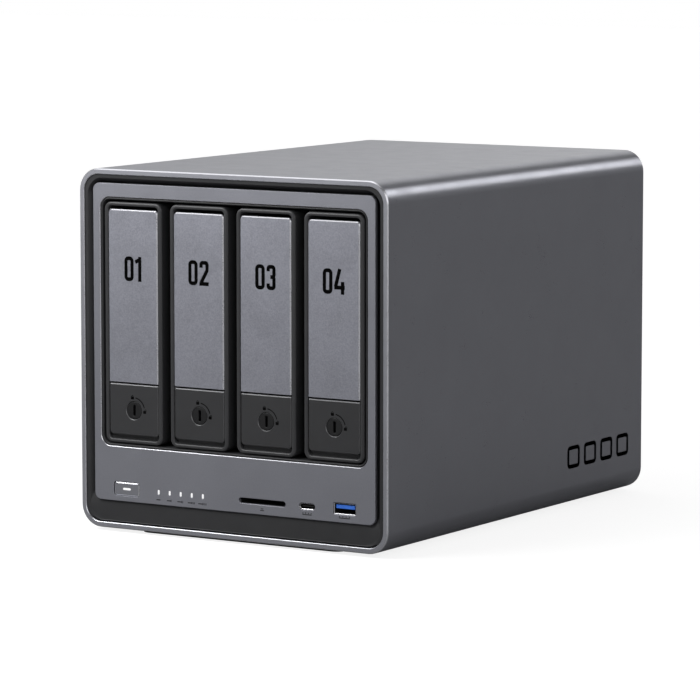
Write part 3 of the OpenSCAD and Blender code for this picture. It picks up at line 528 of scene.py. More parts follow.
def build_bezel():
    radius = SLEEVE_INNER_RADIUS
    outer = Outline.facing(bezel_low, bezel_high, radius)
    side = fascia_low.x - bezel_low.x
    above = bezel_high.z - fascia_high.z
    below = fascia_low.z - bezel_low.z
    floor_depth = 5.6 * MM
    rim_depth = 0.9 * MM
    lip = 1.9 * MM

    def channel(share, depth, lip_share=0.0):
        """A ring between the skirt and the fascia's edge. The ramp below the fascia has no lip."""
        along = lip_share * lip
        left = along + (side - along) * share
        top = along + (above - along) * share
        bottom = 0.15 * MM + below * share + (0.75 * MM if lip_share else 0) * (1 - share)
        ring = outer.moved(left, left, bottom, top)
        corner = radius * (1 - share) + FASCIA_RADIUS * share
        low = corner + 5.5 * MM * math.sin(math.pi * share) * 0.6
        ring.radii = [low, low, corner, corner]
        return ring, shallow_below(depth)

    def shallow_below(depth):
        """The ramp below the fascia is much shallower than the channel beside and above it."""
        ramp = rim_depth + (depth - rim_depth) * 0.22
        low = outer.box[2] + below * 0.9

        def rule(_, v):
            share = min(max((v - low) / (9 * MM), 0), 1)
            share = share * share * (3 - 2 * share)
            return depth if depth < rim_depth else ramp + (depth - ramp) * share
        return rule

    def sunk_below(depth):
        """The bezel's edge lies deeper beside the sleeve's floor, where it leaves a dark line."""
        sunk = 1.6 * MM
        return lambda _, v: depth + (sunk if v < outer.box[2] + sunk else 0)

    back = 14 * MM
    seat = FASCIA_FRONT + 1.95 * MM
    rings = [(outer, back), (outer, sunk_below(0.75 * MM)), (outer.inset(0.12 * MM), sunk_below(0.62 * MM))]
    rings += [channel(0.0, 0.62 * MM, 0.25), channel(0.0, 0.68 * MM, 0.92), channel(0.02, rim_depth, 1.0)]
    rings += [channel(0.1, 1.3 * MM, 1.0), channel(0.5, 3.2 * MM, 1.0)]
    rings += [channel(0.94, 5.3 * MM, 1.0), channel(1.0, floor_depth, 1.0)]
    support = FASCIA_OUTLINE.inset(0.35 * MM)
    rings += [(support, shallow_below(floor_depth)), (support, seat)]
    rings += [(FASCIA_OUTLINE.inset(2.4 * MM), depth) for depth in (seat, back)]
    body = Solid()
    body.tube(rings)
    settle(body.make("bezel_channel", [BEZEL]), "chassis", "black_plastic", "front_bezel")

    # Liner inside the bay window, with a rounded front lip
    liner = WINDOW.inset(0.1 * MM)
    wall = 1.3 * MM
    front = 1.15 * MM
    rings = [(liner, 24 * MM), (liner, front + 0.3 * MM)]
    for i in range(7):
        angle = math.pi * i / 6
        inwards = 0.26 * MM + 0.3 * wall * (1 - math.cos(angle))
        rings.append((liner.inset(inwards), front + 0.35 * MM * (1 - math.sin(angle))))
    rings += [(liner.inset(wall), front + 0.8 * MM), (liner.inset(wall), 24 * MM)]
    body = Solid()
    body.tube(rings)
    settle(body.make("bay_liner", [BEZEL]), "chassis", "black_plastic")

    # Mullions behind the gaps between the trays, and the wall behind the control strip
    body = Solid()
    for n in (1, 2, 3):
        x = (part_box(f"tray_{n}")[1].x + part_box(f"tray_{n + 1}")[0].x) / 2
        body.box(
            (x - 1.95 * MM, front_y + 13 * MM, frames_low.z - 1 * MM),
            (x + 1.95 * MM, front_y + 20 * MM, frames_high.z + 1 * MM),
        )
    low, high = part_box("front_io_board")
    body.box(
        (low.x, front_y + 10.5 * MM, low.z - 1.5 * MM),
        (high.x, front_y + 37 * MM, low.z),
    )
    settle(body.make("bay_mullions", [DEEP], bevel=0.3 * MM), "chassis", "black_plastic")


def control_holes():
    """Cut-outs of the control strip, as (name, outline)."""
    low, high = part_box("button_light")
    level = (low.z + high.z) / 2

    def hole(name, x, width, height, radius, up=0.0):
        return name, Outline.centred(x, level + up, width * MM, height * MM, radius * MM)

    low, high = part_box("status_lights")
    first, last = low.x + 2 * MM, high.x - 2 * MM
    holes = [hole("button", centre("power_button").x, 15.4, 7.2, 1.6)]
    holes += [hole(f"light_{i + 1}", first + (last - first) * i / 4, 1.15, 2.4, 0.57) for i in range(5)]
    holes.append(hole("card", centre("sd_slot").x, 27, 2.8, 1.39))
    holes.append(hole("usb_c", centre("usb_c_port").x, 9.2, 3.3, 1.64))
    holes.append(hole("usb_a", centre("usb_a_port").x, 12.8, 5.8, 0.6, 0.5 * MM))
    return level, holes


LEVEL, HOLES = control_holes()


def build_fascia():
    body = Solid()
    fronts, backs = [], []
    edges = [(FASCIA_OUTLINE, 0.25 * MM, 0), (WINDOW, -0.25 * MM, 1)]
    edges += [(hole, (-0.08 if name == "button" else -0.14) * MM, 0) for name, hole in HOLES]
    for outline, edge, slot in edges:
        chamfer = [(outline.inset(edge), FASCIA_FRONT), (outline, FASCIA_FRONT + abs(edge))]
        first, last = body.skin(chamfer, slot)
        end = body.ring(outline, FASCIA_FRONT + 2 * MM)
        body.bridge(last, end)
        fronts.append(first)
        backs.append(end)
    body.cap(fronts[0], fronts[1:])
    body.cap(backs[0], backs[1:])
    settle(body.make("fascia", [FASCIA, EDGE]), "chassis", "fascia_metal", "front_fascia")
    # Printed marks under the lights and ports: plain strokes
    body = Solid()
    marks_z = LEVEL - 3.75 * MM
    print_depth = (FASCIA_FRONT - 0.015 * MM, FASCIA_FRONT + 0.05 * MM)

    def stroke(x, z, width, height):
        mark = Outline.centred(x, z, width, height, min(width, height) * 0.3)
        body.plate(mark, *print_depth, 0.005 * MM)

    for name, hole in HOLES:
        u0, u1, _, _ = hole.box
        x = (u0 + u1) / 2
        if name.startswith("light"):
            ticks = int(name[-1]) - 1
            stroke(x - 0.35 * MM * ticks, marks_z, 2.4 * MM, 0.45 * MM)
            for k in range(ticks):
                stroke(x + (1.3 + 0.7 * k - 0.35 * ticks) * MM, marks_z, 0.34 * MM, 1.1 * MM)
        elif name == "card":
            stroke(x, marks_z - 0.3 * MM, 2.2 * MM, 0.4 * MM)
            stroke(x, marks_z + 0.5 * MM, 1.4 * MM, 0.4 * MM)
        elif name in ("usb_c", "usb_a"):
            half = (3.1 if name == "usb_a" else 2.6) * MM
            stroke(x, marks_z - 0.2 * MM, 2 * half, 0.42 * MM)
            for share in (-0.9, -0.3, 0.3, 0.9):
                stroke(x + share * half, marks_z + 0.5 * MM, 0.4 * MM, 0.7 * MM)
    settle(body.make("fascia_marks", [MARKS]), "chassis", "fascia_metal")


# ---- power button and lights


def build_controls():
    low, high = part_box("power_button")
    hole = HOLES[0][1]
    face = hole.inset(0.3 * MM)
    front = low.y - front_y
    bar = Outline.centred(centre("button_light").x, LEVEL, 4.7 * MM, 1.15 * MM, 0.57 * MM)
    body = Solid()
    first, second = body.skin([(face.inset(0.55 * MM), front), (face, front + 0.3 * MM)], 1)
    window, bottom = body.skin([(bar, front), (bar, front + 3 * MM)])
    back = body.ring(face, front + 3 * MM)
    body.bridge(second, back)
    body.cap(first, [window])
    body.cap(back, [bottom])
    flange = face.moved(-1 * MM, -1 * MM, 0, 0)
    body.plate(flange, front + 1.95 * MM, front + 3.3 * MM, 0.2 * MM)
    stem = Outline.centred(hole.box[0] + 7.7 * MM, LEVEL + 0.6 * MM, 3.4 * MM, 2.6 * MM, 0.5 * MM)
    body.plate(stem, front + 3 * MM, high.y - front_y, 0.2 * MM)
    settle(body.make("power_button_cap", [BUTTON, EDGE]), "power_button", "button_plastic", "power_button")
    body = Solid()
    body.plate(bar.inset(0.04 * MM), front + 0.03 * MM, front + 1.9 * MM, 0.12 * MM, rounds=2)
    settle(body.make("power_light_bar", [LIGHT]), "power_button", "light_pipe", "button_light")
    body = Solid()
    for name, hole in HOLES:
        if name.startswith("light"):
            body.plate(hole.inset(0.1 * MM), FASCIA_FRONT + 0.02 * MM, 13 * MM, 0.2 * MM, rounds=3)
    low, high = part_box("status_lights")
    body.box((low.x, front_y + 12 * MM, low.z), (high.x, front_y + 15 * MM, high.z))
    settle(body.make("status_light_pipes", [LIGHT]), "chassis", "light_pipe", "status_lights")


# ---- front ports


def usb_shell(body, hole, lip, wall, mouth, ends, slot):
    """A port's folded metal shell, with a rounded lip and a dark inside."""
    front = 1.1 * MM
    last = body.skin([(hole, ends[0]), (hole, front + 0.15 * MM), (hole.inset(lip), front)])[1]
    inside, end = body.skin([(hole.inset(wall), front + mouth), (hole.inset(wall), ends[1])], slot)
    body.bridge(last, inside)
    body.cap(end, slot=slot)


def contacts(body, x, count, pitch, half, start, end, low, high):
    """A row of gold contacts along a tongue."""
    for i in range(count):
        u = x + (i - (count - 1) / 2) * pitch
        body.box((u - half, front_y + start, low), (u + half, front_y + end, high), 2)


def build_front_ports():
    named = dict(HOLES)
    # Card slot: a dark throat in its housing
    card = named["card"]
    low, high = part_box("sd_slot")
    body = Solid()
    throat = card.inset(-0.4 * MM)
    slit = card.inset(0.35 * MM)
    rings = [(throat, 11.6 * MM), (throat, 2.9 * MM), (card.inset(0.05 * MM), 2.85 * MM)]
    rings += [(slit, 3.4 * MM), (slit, 30 * MM)]
    back = body.skin(rings)[1]
    body.cap(back)
    body.box(low, high)
    settle(body.make("card_slot_body", [CONNECTOR]), "chassis", "connector_plastic", "sd_slot")

    # USB-C: folded metal shell with a centre tongue
    hole = named["usb_c"].inset(0.15 * MM)
    body = Solid()
    usb_shell(body, hole, 0.12 * MM, 0.3 * MM, 0.15 * MM, (17 * MM, 15.5 * MM), 1)
    x = centre("usb_c_port").x
    tongue = Outline.centred(x, LEVEL, 6.7 * MM, 0.75 * MM, 0.3 * MM)
    body.plate(tongue, 1.9 * MM, 16 * MM, 0.15 * MM, slot=1)
    low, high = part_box("usb_c_port")
    body.box(
        (low.x + 0.5 * MM, front_y + 12 * MM, low.z),
        (high.x - 0.5 * MM, front_y + 17 * MM, low.z + 1.6 * MM),
    )
    contacts(body, x, 6, 0.95 * MM, 0.2 * MM, 3.1 * MM, 6 * MM, LEVEL + 0.36 * MM, LEVEL + 0.42 * MM)
    settle(body.make("usb_c_shell", [NICKEL, CONNECTOR, GOLD]), "chassis", "port_shell", "usb_c_port")

    # USB-A: plated shell, blue tongue in its upper half with gold contacts under it
    hole = named["usb_a"].inset(0.15 * MM)
    body = Solid()
    usb_shell(body, hole, 0.15 * MM, 0.38 * MM, 0.2 * MM, (19 * MM, 17 * MM), 3)
    x = centre("usb_a_port").x
    tongue_z = LEVEL + 1.35 * MM
    tongue = Outline.centred(x, tongue_z, 10.6 * MM, 1.9 * MM, 0.15 * MM)
    body.plate(tongue, 1.75 * MM, 18 * MM, 0.2 * MM, slot=1)
    below = tongue_z - 1.03 * MM
    contacts(body, x, 4, 2.3 * MM, 0.5 * MM, 2.4 * MM, 9 * MM, below, below + 0.1 * MM)
    low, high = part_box("usb_a_port")
    body.box(
        (low.x + 1.2 * MM, front_y + 12 * MM, low.z),
        (high.x - 1.2 * MM, front_y + 19 * MM, low.z + 0.9 * MM),
    )
    settle(body.make("usb_a_shell", [NICKEL, BLUE, GOLD, CONNECTOR]), "chassis", "port_shell", "usb_a_port")


# ---- trays

def build_tray(n):
    body_name = f"tray_{n}"
    low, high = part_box(body_name)
    side_wall, end_wall = 2.3 * MM, 1.95 * MM
    front = low.y - front_y
    frame_depth = 19 * MM
    radius = 3.9 * MM
    outer = Outline.facing(low, high, radius)
    slot = outer.moved(side_wall, side_wall, end_wall, end_wall, 1.95 * MM)

    def across(share):
        """A ring between the frame's outer edge (0) and its slot (1)."""
        return outer.moved(*[side_wall * share] * 2, *[end_wall * share] * 2, end_wall * share)

    body = Solid()
    back = front + frame_depth
    rings = [(across(0.0), back), (across(0.0), front + 0.85 * MM)]
    lip = ((0.04, 0.55), (0.12, 0.3), (0.24, 0.12), (0.4, 0.02), (0.55, 0.0))
    lip += ((0.72, 0.04), (0.86, 0.16), (0.96, 0.38), (1.0, 0.7))
    rings += [(across(share), front + depth * MM) for share, depth in lip]
    rings += [(slot, front + 2 * MM)]
    deeper = slot.moved(0, 0, 0, -0.7 * MM)
    rings += [(deeper, front + 2.1 * MM), (deeper, back - 2 * MM)]
    first, last = body.skin(rings)
    body.cap(last)
    body.cap(first)
    # Rails above and below the drive, and the sheet beside it
    y0, y1 = front_y + back - 0.2 * MM, high.y
    mid = (low.z + high.z) / 2
    half = (high.x - low.x) / 2 - 2.4 * MM
    x = (low.x + high.x) / 2
    rail_out, rail_in = 54.2 * MM, 51.2 * MM
    body.box((x - half, y0, mid + rail_in), (x + half, y1, mid + rail_out))
    body.box((x - half, y0, mid - rail_out), (x + half, y1, mid - rail_in))
    # Ledge inside the slot, under the latch
    body.box(
        (low.x + side_wall + 0.05 * MM, front_y + front + 2.6 * MM, low.z + end_wall - 0.5 * MM),
        (high.x - side_wall - 0.05 * MM, front_y + front + 9 * MM, low.z + end_wall + 1.9 * MM),
    )
    frame_piece = body.make(f"tray_{n}_frame", [TRAY])
    # Sheet with the holes for a 2.5-inch drive and its air slots
    sheet = Solid(lambda u, v, d: (x - half + d, u, v))
    plate_outline = Outline(y0, y1, mid - rail_in, mid + rail_in, 0.3 * MM)
    holes = []
    hole_y = y1 - 52.3 * MM
    for dy in (-1, 1):
        for dz in (-1, 1):
            u, v = hole_y + dy * 38.3 * MM, mid + dz * 30.86 * MM
            holes.append(Outline.centred(u, v, 3.4 * MM, 3.4 * MM, 1.695 * MM))
    slots_from, slots_to = front_y + back + 62 * MM, y1 - 22 * MM
    for i in range(5):
        u = slots_from + (slots_to - slots_from) * (i + 0.5) / 5
        holes.append(Outline.centred(u, mid, 6 * MM, 40 * MM, 2.9 * MM))
    sheet.plate(plate_outline, 0, 2 * MM, 0.15 * MM, holes=holes)
    sheet_piece = sheet.make(f"tray_{n}_sheet", [TRAY])
    settle(frame_piece, body_name, "tray_plastic", body_name)
    settle(sheet_piece, body_name, "tray_plastic")


def build_face_plate(n):
    low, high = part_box(f"face_plate_{n}")
    front = low.y - front_y
    radii = [0.35 * MM, 0.35 * MM, 1.7 * MM, 1.7 * MM]
    outline = Outline.facing(low, high, radii)
    body = Solid()
    chamfered = outline.moved(0.3 * MM, 0.55 * MM, 0.12 * MM, 0.5 * MM, 0.2 * MM)
    face = body.ring(chamfered, front)
    edge = body.ring(outline, front + 0.45 * MM)
    end = body.ring(outline, high.y - front_y)
    body.bridge(face, edge, 1)
    body.bridge(edge, end)
    body.cap(face)
    body.cap(end)
    settle(body.make(f"plate_{n}", [PLATE, EDGE]), f"handle_{n}", "plate_metal", f"face_plate_{n}")


def strip_points(path, width):
    """The outline of a stroke of even width along a path of points."""
    left, right = [], []
    for i, (u, v) in enumerate(path):
        before = path[max(i - 1, 0)]
        after = path[min(i + 1, len(path) - 1)]
        du, dv = after[0] - before[0], after[1] - before[1]
        length = math.hypot(du, dv)
        normal = (-dv / length * width / 2, du / length * width / 2)
        left.append((u + normal[0], v + normal[1]))
        right.append((u - normal[0], v - normal[1]))
    return left + right[::-1]


def arc(u, v, radius_u, radius_v, start, end, steps=10):
    return [
        (u + radius_u * math.cos(math.radians(start + (end - start) * i / steps)),
         v + radius_v * math.sin(math.radians(start + (end - start) * i / steps)))
        for i in range(steps + 1)
    ]


def stroke_lines(digit, width, height, s):
    """A digit's strokes of width s, each a list of points along its middle, from its lower left."""
    left, right, bottom, top = s / 2, width - s / 2, s / 2, height - s / 2
    middle = height * 0.52
    r = 1.05 * MM
    if digit == 1:
        x = right
        return [[(x, 0), (x, height)], [(0, height * 0.78), (x - s * 0.1, height - s * 0.75)]]
    if digit == 2:
        foot = left + 0.2 * MM
        return [
            [(left, height * 0.72), (left, top - r)] + arc(left + r, top - r, r, r, 180, 90)[1:]
            + arc(right - r, top - r, r, r, 90, 0)
            + [(right, height * 0.62), (foot, s * 0.9), (foot, s * 0.5)],
            [(0, bottom), (width, bottom)],
        ]
    if digit == 3:
        inner = left + 1.2 * MM
        return [
            [(left, height * 0.74), (left, top - r)] + arc(left + r, top - r, r, r, 180, 90)[1:]
            + arc(right - r, top - r, r, r, 90, 0) + arc(right - r, middle + r, r, r, 0, -90)
            + [(inner, middle)],
            [(inner, middle)] + arc(right - r, middle - r, r, r, 90, 0)
            + arc(right - r, bottom + r, r, r, 0, -90) + arc(left + r, bottom + r, r, r, -90, -180)
            + [(left, height * 0.26)],
        ]
    bar, stem = height * 0.27, right - 0.3 * MM
    return [
        [(width * 0.52, height), (left * 0.75, bar + s * 0.2)],
        [(0, bar), (width, bar)],
        [(stem, height * 0.5), (stem, 0)],
    ]


DIGIT_H = 12.2 * MM
STROKE = 1.9 * MM


def build_numbers(n):
    """Two plain condensed digits printed on the plate: the bay's number."""
    low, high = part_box(f"face_plate_{n}")
    front = low.y - front_y
    widths = {0: 5.5 * MM, 1: 3.6 * MM, 2: 5.4 * MM, 3: 5.2 * MM, 4: 5.9 * MM}
    gap = 1.0 * MM
    base = high.z - 35.1 * MM
    total = widths[0] + gap + widths[n]
    x = (low.x + high.x) / 2 - total / 2
    top_depth, bottom_depth = front - 0.02 * MM, front + 0.1 * MM
    body = Solid()
    ring = Outline(x, x + widths[0], base, base + DIGIT_H, 2.3 * MM)
    body.plate(ring, top_depth, bottom_depth, 0.01 * MM, holes=[ring.inset(STROKE)])
    x += widths[0] + gap
    for number, line in enumerate(stroke_lines(n, widths[n], DIGIT_H, STROKE)):
        points = strip_points([(x + u, base + v) for u, v in line], STROKE)
        body.slab(points, top_depth - 0.003 * MM * number, bottom_depth)
    settle(body.make(f"bay_number_{n}", [PRINT], weld=False), f"handle_{n}", "plate_metal")


def build_latch(n):
    low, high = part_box(f"latch_{n}")
    lock_low, lock_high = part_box(f"lock_{n}")
    front = low.y - front_y
    x = (low.x + high.x) / 2
    outline = Outline.facing(low, high, [2 * MM, 2 * MM, 0.4 * MM, 0.4 * MM])
    lock_r = (lock_high.x - lock_low.x) / 2
    lock_z = lock_low.z + lock_r
    bore_width = 2 * lock_r + 0.16 * MM
    bore = Outline.centred(x, lock_z, bore_width, bore_width, lock_r + 0.07 * MM)
    body = Solid()
    depth = high.y - front_y
    # Face with chamfered edges and the lock's bore; the chamfers and the bore's lip carry a lighter metallic
    # grey, a painted highlight
    face = body.ring(outline.moved(0.4 * MM, 0.4 * MM, 0.4 * MM, 0.5 * MM), front)
    side = body.ring(outline, front + 0.42 * MM)
    body.bridge(face, side, 1)
    lip, throat = body.skin([(bore.inset(-0.3 * MM), front), (bore, front + 0.3 * MM)], 1)
    ends = [body.ring(outline, depth), body.ring(bore, depth)]
    body.bridge(side, ends[0])
    body.bridge(throat, ends[1])
    body.cap(face, [lip])
    body.cap(ends[0], [ends[1]])
    settle(body.make(f"latch_{n}_cap", [LATCH, LATCH_PAINTED_HIGHLIGHT]), f"latch_{n}", "latch_plastic", f"latch_{n}")

    # Arc between two small padlocks
    body = Solid()
    lift = (front - 0.012 * MM, front + 0.04 * MM)
    curve = arc(x, lock_z, 6.35 * MM, 6.35 * MM, 82, 14, 14)
    body.slab(strip_points(curve, 0.5 * MM), *lift)
    closed = (x - 0.9 * MM, lock_z + 6.2 * MM, 0.0)
    opened = (x + 6.4 * MM, lock_z - 0.5 * MM, 0.45 * MM)
    for u, v, lean in (closed, opened):
        body.plate(Outline.centred(u, v, 1.75 * MM, 1.4 * MM, 0.2 * MM), *lift, 0.005 * MM)
        bow = arc(u + lean, v + 0.55 * MM, 0.5 * MM, 0.75 * MM, 0, 180, 8)
        body.slab(strip_points(bow, 0.28 * MM), *lift)
    settle(body.make(f"latch_{n}_marks", [PRINT], weld=False), f"latch_{n}", "latch_plastic")

    # Lock barrel with its key slot and the cam bar behind
    body = Solid()
    start = lock_low.y - front_y
    barrel = Outline.centred(x, lock_z, 2 * lock_r, 2 * lock_r, lock_r - 0.01 * MM)
    key = Outline.centred(x, lock_z, 1.4 * MM, 5.5 * MM, 0.5 * MM)
    end = lock_high.y - front_y
    edge = [(0.35, 0.0), (0.18, 0.05), (0.05, 0.17), (0.0, 0.35)]
    first, last = body.skin([(barrel.inset(inwards * MM), start + back * MM) for inwards, back in edge])
    bottom = body.ring(barrel, end - 1.6 * MM)
    body.bridge(last, bottom)
    body.cap(bottom)
    key_slot = [(key.inset(-0.2 * MM), start), (key, start + 0.2 * MM), (key, start + 3 * MM)]
    slot_front, slot_back = body.skin(key_slot)
    body.cap(first, [slot_front])
    body.cap(slot_back)
    body.box(
        (x - 1.5 * MM, front_y + end - 1.7 * MM, lock_z - 1.5 * MM),
        (x + 1.5 * MM, front_y + end, lock_z + 7 * MM),
    )
    settle(body.make(f"lock_{n}_barrel", [LOCK]), f"lock_{n}", "lock_plastic", f"lock_{n}")


# ---- rear


def hexagon(u, v, radius):
    return [
        (u + radius * math.cos(math.radians(60 * i + 30)), v + radius * math.sin(math.radians(60 * i + 30)))
        for i in range(6)
    ]


def build_filter():
    """Magnetic dust filter: a moulded frame round a sheet of hexagonal mesh."""
    low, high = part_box("dust_filter")
    outline = Outline.facing(low, high, 7 * MM)
    border = 7.5 * MM
    window = outline.inset(border)
    start, end = rear_y - high.y, rear_y - low.y
    body = Solid(from_rear)
    body.plate(outline, start, end, 0.6 * MM, holes=[window], rounds=3)
    settle(body.make("filter_frame", [FAN]), "dust_filter", "filter_frame", "dust_filter")
    # Mesh: hexagonal holes, kept clear of the window's edge
    body = Solid(from_rear)
    cell = 2.15 * MM
    u0, u1, v0, v1 = window.inset(-0.8 * MM).box
    depth, back = start + 0.9 * MM, start + 1.25 * MM
    rows = int((v1 - v0) / (cell * math.sqrt(3) / 2))
    holes = []
    for row in range(1, rows):
        v = v0 + row * cell * math.sqrt(3) / 2
        shift = cell / 2 if row % 2 else 0
        count = int((u1 - u0) / cell)
        for i in range(1, count):
            u = u0 + i * cell + shift
            if u0 + 1.3 * MM < u < u1 - 1.3 * MM and v0 + 1.3 * MM < v < v1 - 1.3 * MM:
                holes.append((u, v))
    hexagon_mesh(body, holes, cell, depth, back)
    settle(body.make("filter_mesh", [FAN], smooth=30), "dust_filter", "filter_frame")


def hexagon_mesh(body, centres, cell, depth, back):
    """A perforated sheet made of one hexagonal ring for each hole."""
    outer_r = cell / math.sqrt(3)
    inner_r = outer_r * 0.72
    for u, v in centres:
        outer_front = body.ring(hexagon(u, v, outer_r), depth)
        inner_front = body.ring(hexagon(u, v, inner_r), depth)
        inner_back = body.ring(hexagon(u, v, inner_r), back)
        outer_back = body.ring(hexagon(u, v, outer_r), back)
        body.bridge(outer_front, inner_front)
        body.bridge(inner_front, inner_back)
        body.bridge(inner_back, outer_back)


def build_rear_panel():
    """Rear panel with its port cut-outs, fan opening and finger guard."""
    start = rear_y - panel_y
    end = start + 2 * MM
    outer = Outline.facing(bezel_low, bezel_high, SLEEVE_INNER_RADIUS)
    fan = centre("fan_rotor")
    bore = 67 * MM
    holes = [Outline.centred(fan.x, fan.z, 2 * bore, 2 * bore, bore - 0.05 * MM)]
    for node in ("hdmi_port", "rear_usb_ports", "dc_inlet"):
        low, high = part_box(node)
        holes.append(Outline.facing(low, high, 0.3 * MM).inset(-0.2 * MM))
    low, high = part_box("lan_ports")
    third = (high.x - low.x - 4 * MM) / 2
    for u in (low.x, high.x - third):
        holes.append(Outline(u, u + third, low.z, high.z, 0.3 * MM).inset(-0.2 * MM))
    reset = centre("reset_button")
    holes.append(Outline.centred(reset.x, reset.z, 3.2 * MM, 3.2 * MM, 1.59 * MM))
    holes.append(Outline.centred(68 * MM, reset.z, 7 * MM, 3 * MM, 0.6 * MM))
    body = Solid(from_rear)
    body.plate(outer, start, end, 0.25 * MM, holes=holes)
    # Finger guard: rings on two crossed bars
    for radius in (16 * MM, 33 * MM, 50 * MM):
        guard = [
            (Outline.centred(fan.x, fan.z, 2 * r, 2 * r, r - 0.01 * MM), start + depth)
            for r, depth in (
                (radius - 0.8 * MM, 0.5 * MM), (radius - 0.4 * MM, 0.25 * MM),
                (radius + 0.4 * MM, 0.25 * MM), (radius + 0.8 * MM, 0.5 * MM),
                (radius + 0.8 * MM, 1.4 * MM), (radius - 0.8 * MM, 1.4 * MM),
            )
        ]
        body.tube(guard)
    for angle in (45, 135, 225, 315):
        a = math.radians(angle)
        reach = (15.4 * MM, 40 * MM, bore + 0.5 * MM)
        path = [(fan.x + r * math.cos(a), fan.z + r * math.sin(a)) for r in reach]
        body.slab(strip_points(path, 1.8 * MM), start + 0.35 * MM, start + 1.4 * MM)
    settle(body.make("rear_plate", [POWDER]), "chassis", "rear_plastic", "rear_panel")


def build_fan():
    """Fan rotor with swept, cambered blades."""
    low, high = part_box("fan_rotor")
    middle = centre("fan_rotor")
    hub = 21 * MM
    tip = (high.x - low.x) / 2 - 0.2 * MM
    y0, y1 = low.y, high.y
    body = Solid(lambda u, v, d: (u, d, v))

    def ring_at(radius, y):
        return (circle_points(middle.x, middle.z, radius, 64), y)

    cup = [ring_at(hub - 2.4 * MM, y1), ring_at(hub - 0.6 * MM, y1), ring_at(hub, y1 - 0.6 * MM)]
    cup += [ring_at(hub, y0 + 1.6 * MM), ring_at(hub - 1.2 * MM, y0 + 0.3 * MM), ring_at(hub - 3 * MM, y0)]
    first, last = body.skin(cup)
    body.cap(first)
    body.cap(last)
    blades = 9
    stations, chord = 9, 12
    for blade in range(blades):
        rows = []
        for s in range(stations):
            share = s / (stations - 1)
            radius = hub - 0.6 * MM + (tip - hub + 0.6 * MM) * share
            sweep = 0.34 * share ** 1.5
            reach = 0.62 - 0.12 * share
            row = []
            for c in range(chord):
                along = c / (chord - 1)
                angle = 2 * math.pi * blade / blades + sweep + reach * (along - 0.5)
                camber = 0.9 * MM * math.sin(math.pi * along)
                y = y1 - 2.6 * MM - (y1 - y0 - 5 * MM) * along * (1 - 0.25 * share) + camber
                row.append((middle.x + radius * math.cos(angle), y, middle.z + radius * math.sin(angle)))
            rows.append(row)
        rims = []
        for side in (0, 1):
            first = len(body.vertices)
            shift = -1.3 * MM * side
            body.vertices += [(x, y + shift, z) for row in rows for x, y, z in row]
            grid = [[first + s * chord + c for c in range(chord)] for s in range(stations)]
            for a, b in zip(grid, grid[1:]):
                for c in range(chord - 1):
                    body.faces.append((a[c], b[c], b[c + 1], a[c + 1]))
                    body.slots.append(0)
            leading, trailing = [row[0] for row in grid], [row[-1] for row in grid]
            rims.append(leading + grid[-1][1:] + trailing[-2::-1] + grid[0][-2:0:-1])
        body.bridge(*rims)
    settle(body.make("fan_blades", [FAN], smooth=50), "fan_rotor", "fan_plastic", "fan_rotor")


# ---- CAD nodes that keep their shape

KEPT = {
    "drive_cage": ZINC, "cage_guides": ZINC, "cage_screws": BLACK_STEEL, "backplane_board": BOARD,
    "backplane_connectors": CONNECTOR, "main_board": BOARD, "board_standoffs": BRASS,
    "cpu_heatsink": HEATSINK, "memory_socket": CONNECTOR, "memory_module": BOARD,
    "front_io_board": BOARD, "panel_screws": BLACK_STEEL, "fan_frame": FAN,
    "fan_screws": BLACK_STEEL, "filter_magnets": STEEL, "lan_ports": NICKEL,
    "hdmi_port": NICKEL, "rear_usb_ports": NICKEL, "dc_inlet": CONNECTOR,
    "reset_button": WHITE, "base_cover": SLEEVE, "cover_screws": BLACK_STEEL,
    "foot_front": RUBBER, "foot_rear": RUBBER,
}
KEPT.update({f"handle_{n}": TRAY for n in BAYS})
KEPT.update({f"hinge_pin_{n}": STEEL for n in BAYS})


def build_side_mark():
    """A generic pictogram of four drive bays, printed low on the right side."""
    side = Solid(lambda u, v, depth: (shell_high.x - depth, u, v))
    width, height, gap, line = 13.2 * MM, 11.7 * MM, 4.4 * MM, 2.1 * MM
    middle_y, middle_z = 80.5 * MM, shell_low.z + 25.5 * MM
    for i in range(4):
        y = middle_y + (i - 1.5) * (width + gap)
        bay = Outline.centred(y, middle_z, width, height, 2.6 * MM)
        side.plate(bay, 0.0, 0.05 * MM, 0.002 * MM, holes=[bay.inset(line)])
    settle(side.make("side_mark", [PRINT]), "chassis", "sleeve_metal")


def dress_kept_nodes():
    """Materials and softened edges for the CAD nodes that stay as they are."""
    for name, material in KEPT.items():
        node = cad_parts[name]
        node.data.materials.clear()
        node.data.materials.append(material)
        weld = node.modifiers.new("weld", "WELD")
        weld.merge_threshold = 0.002 * MM
        bevel = node.modifiers.new("soft_edges", "BEVEL")
        bevel.width = 0.15 * MM
        bevel.segments = 2
        bevel.limit_method = "ANGLE"
        bevel.angle_limit = math.radians(40)
        bevel.harden_normals = True


# ---- stage, lights and camera

# The studio round the object, as soft-edged panels: bearing from the back (positive to the right) and
# height, both in degrees, then how soft the edges are, and how bright the panel is
AMBIENT = 0.03
PANELS = (
    ("back_left", (-80, -6), (-20, 38), 10, 0.35),
    ("back_centre", (-32, -6), (-20, 38), 22, 0.6),
    ("edge_strip", (14, 27), (14, 32), 5, 5.2),
    ("back_right", (20, 70), (-25, 12), 14, 0.262),
    ("high_left", (-170, -40), (44, 78), 12, 1.4),
    ("front_left", (-190, -110), (-20, 30), 20, 0.03),
    ("front_right", (95, 150), (-14, 40), 16, 1.5),
    ("ceiling", (-190, 190), (66, 100), 15, 0.7),
)


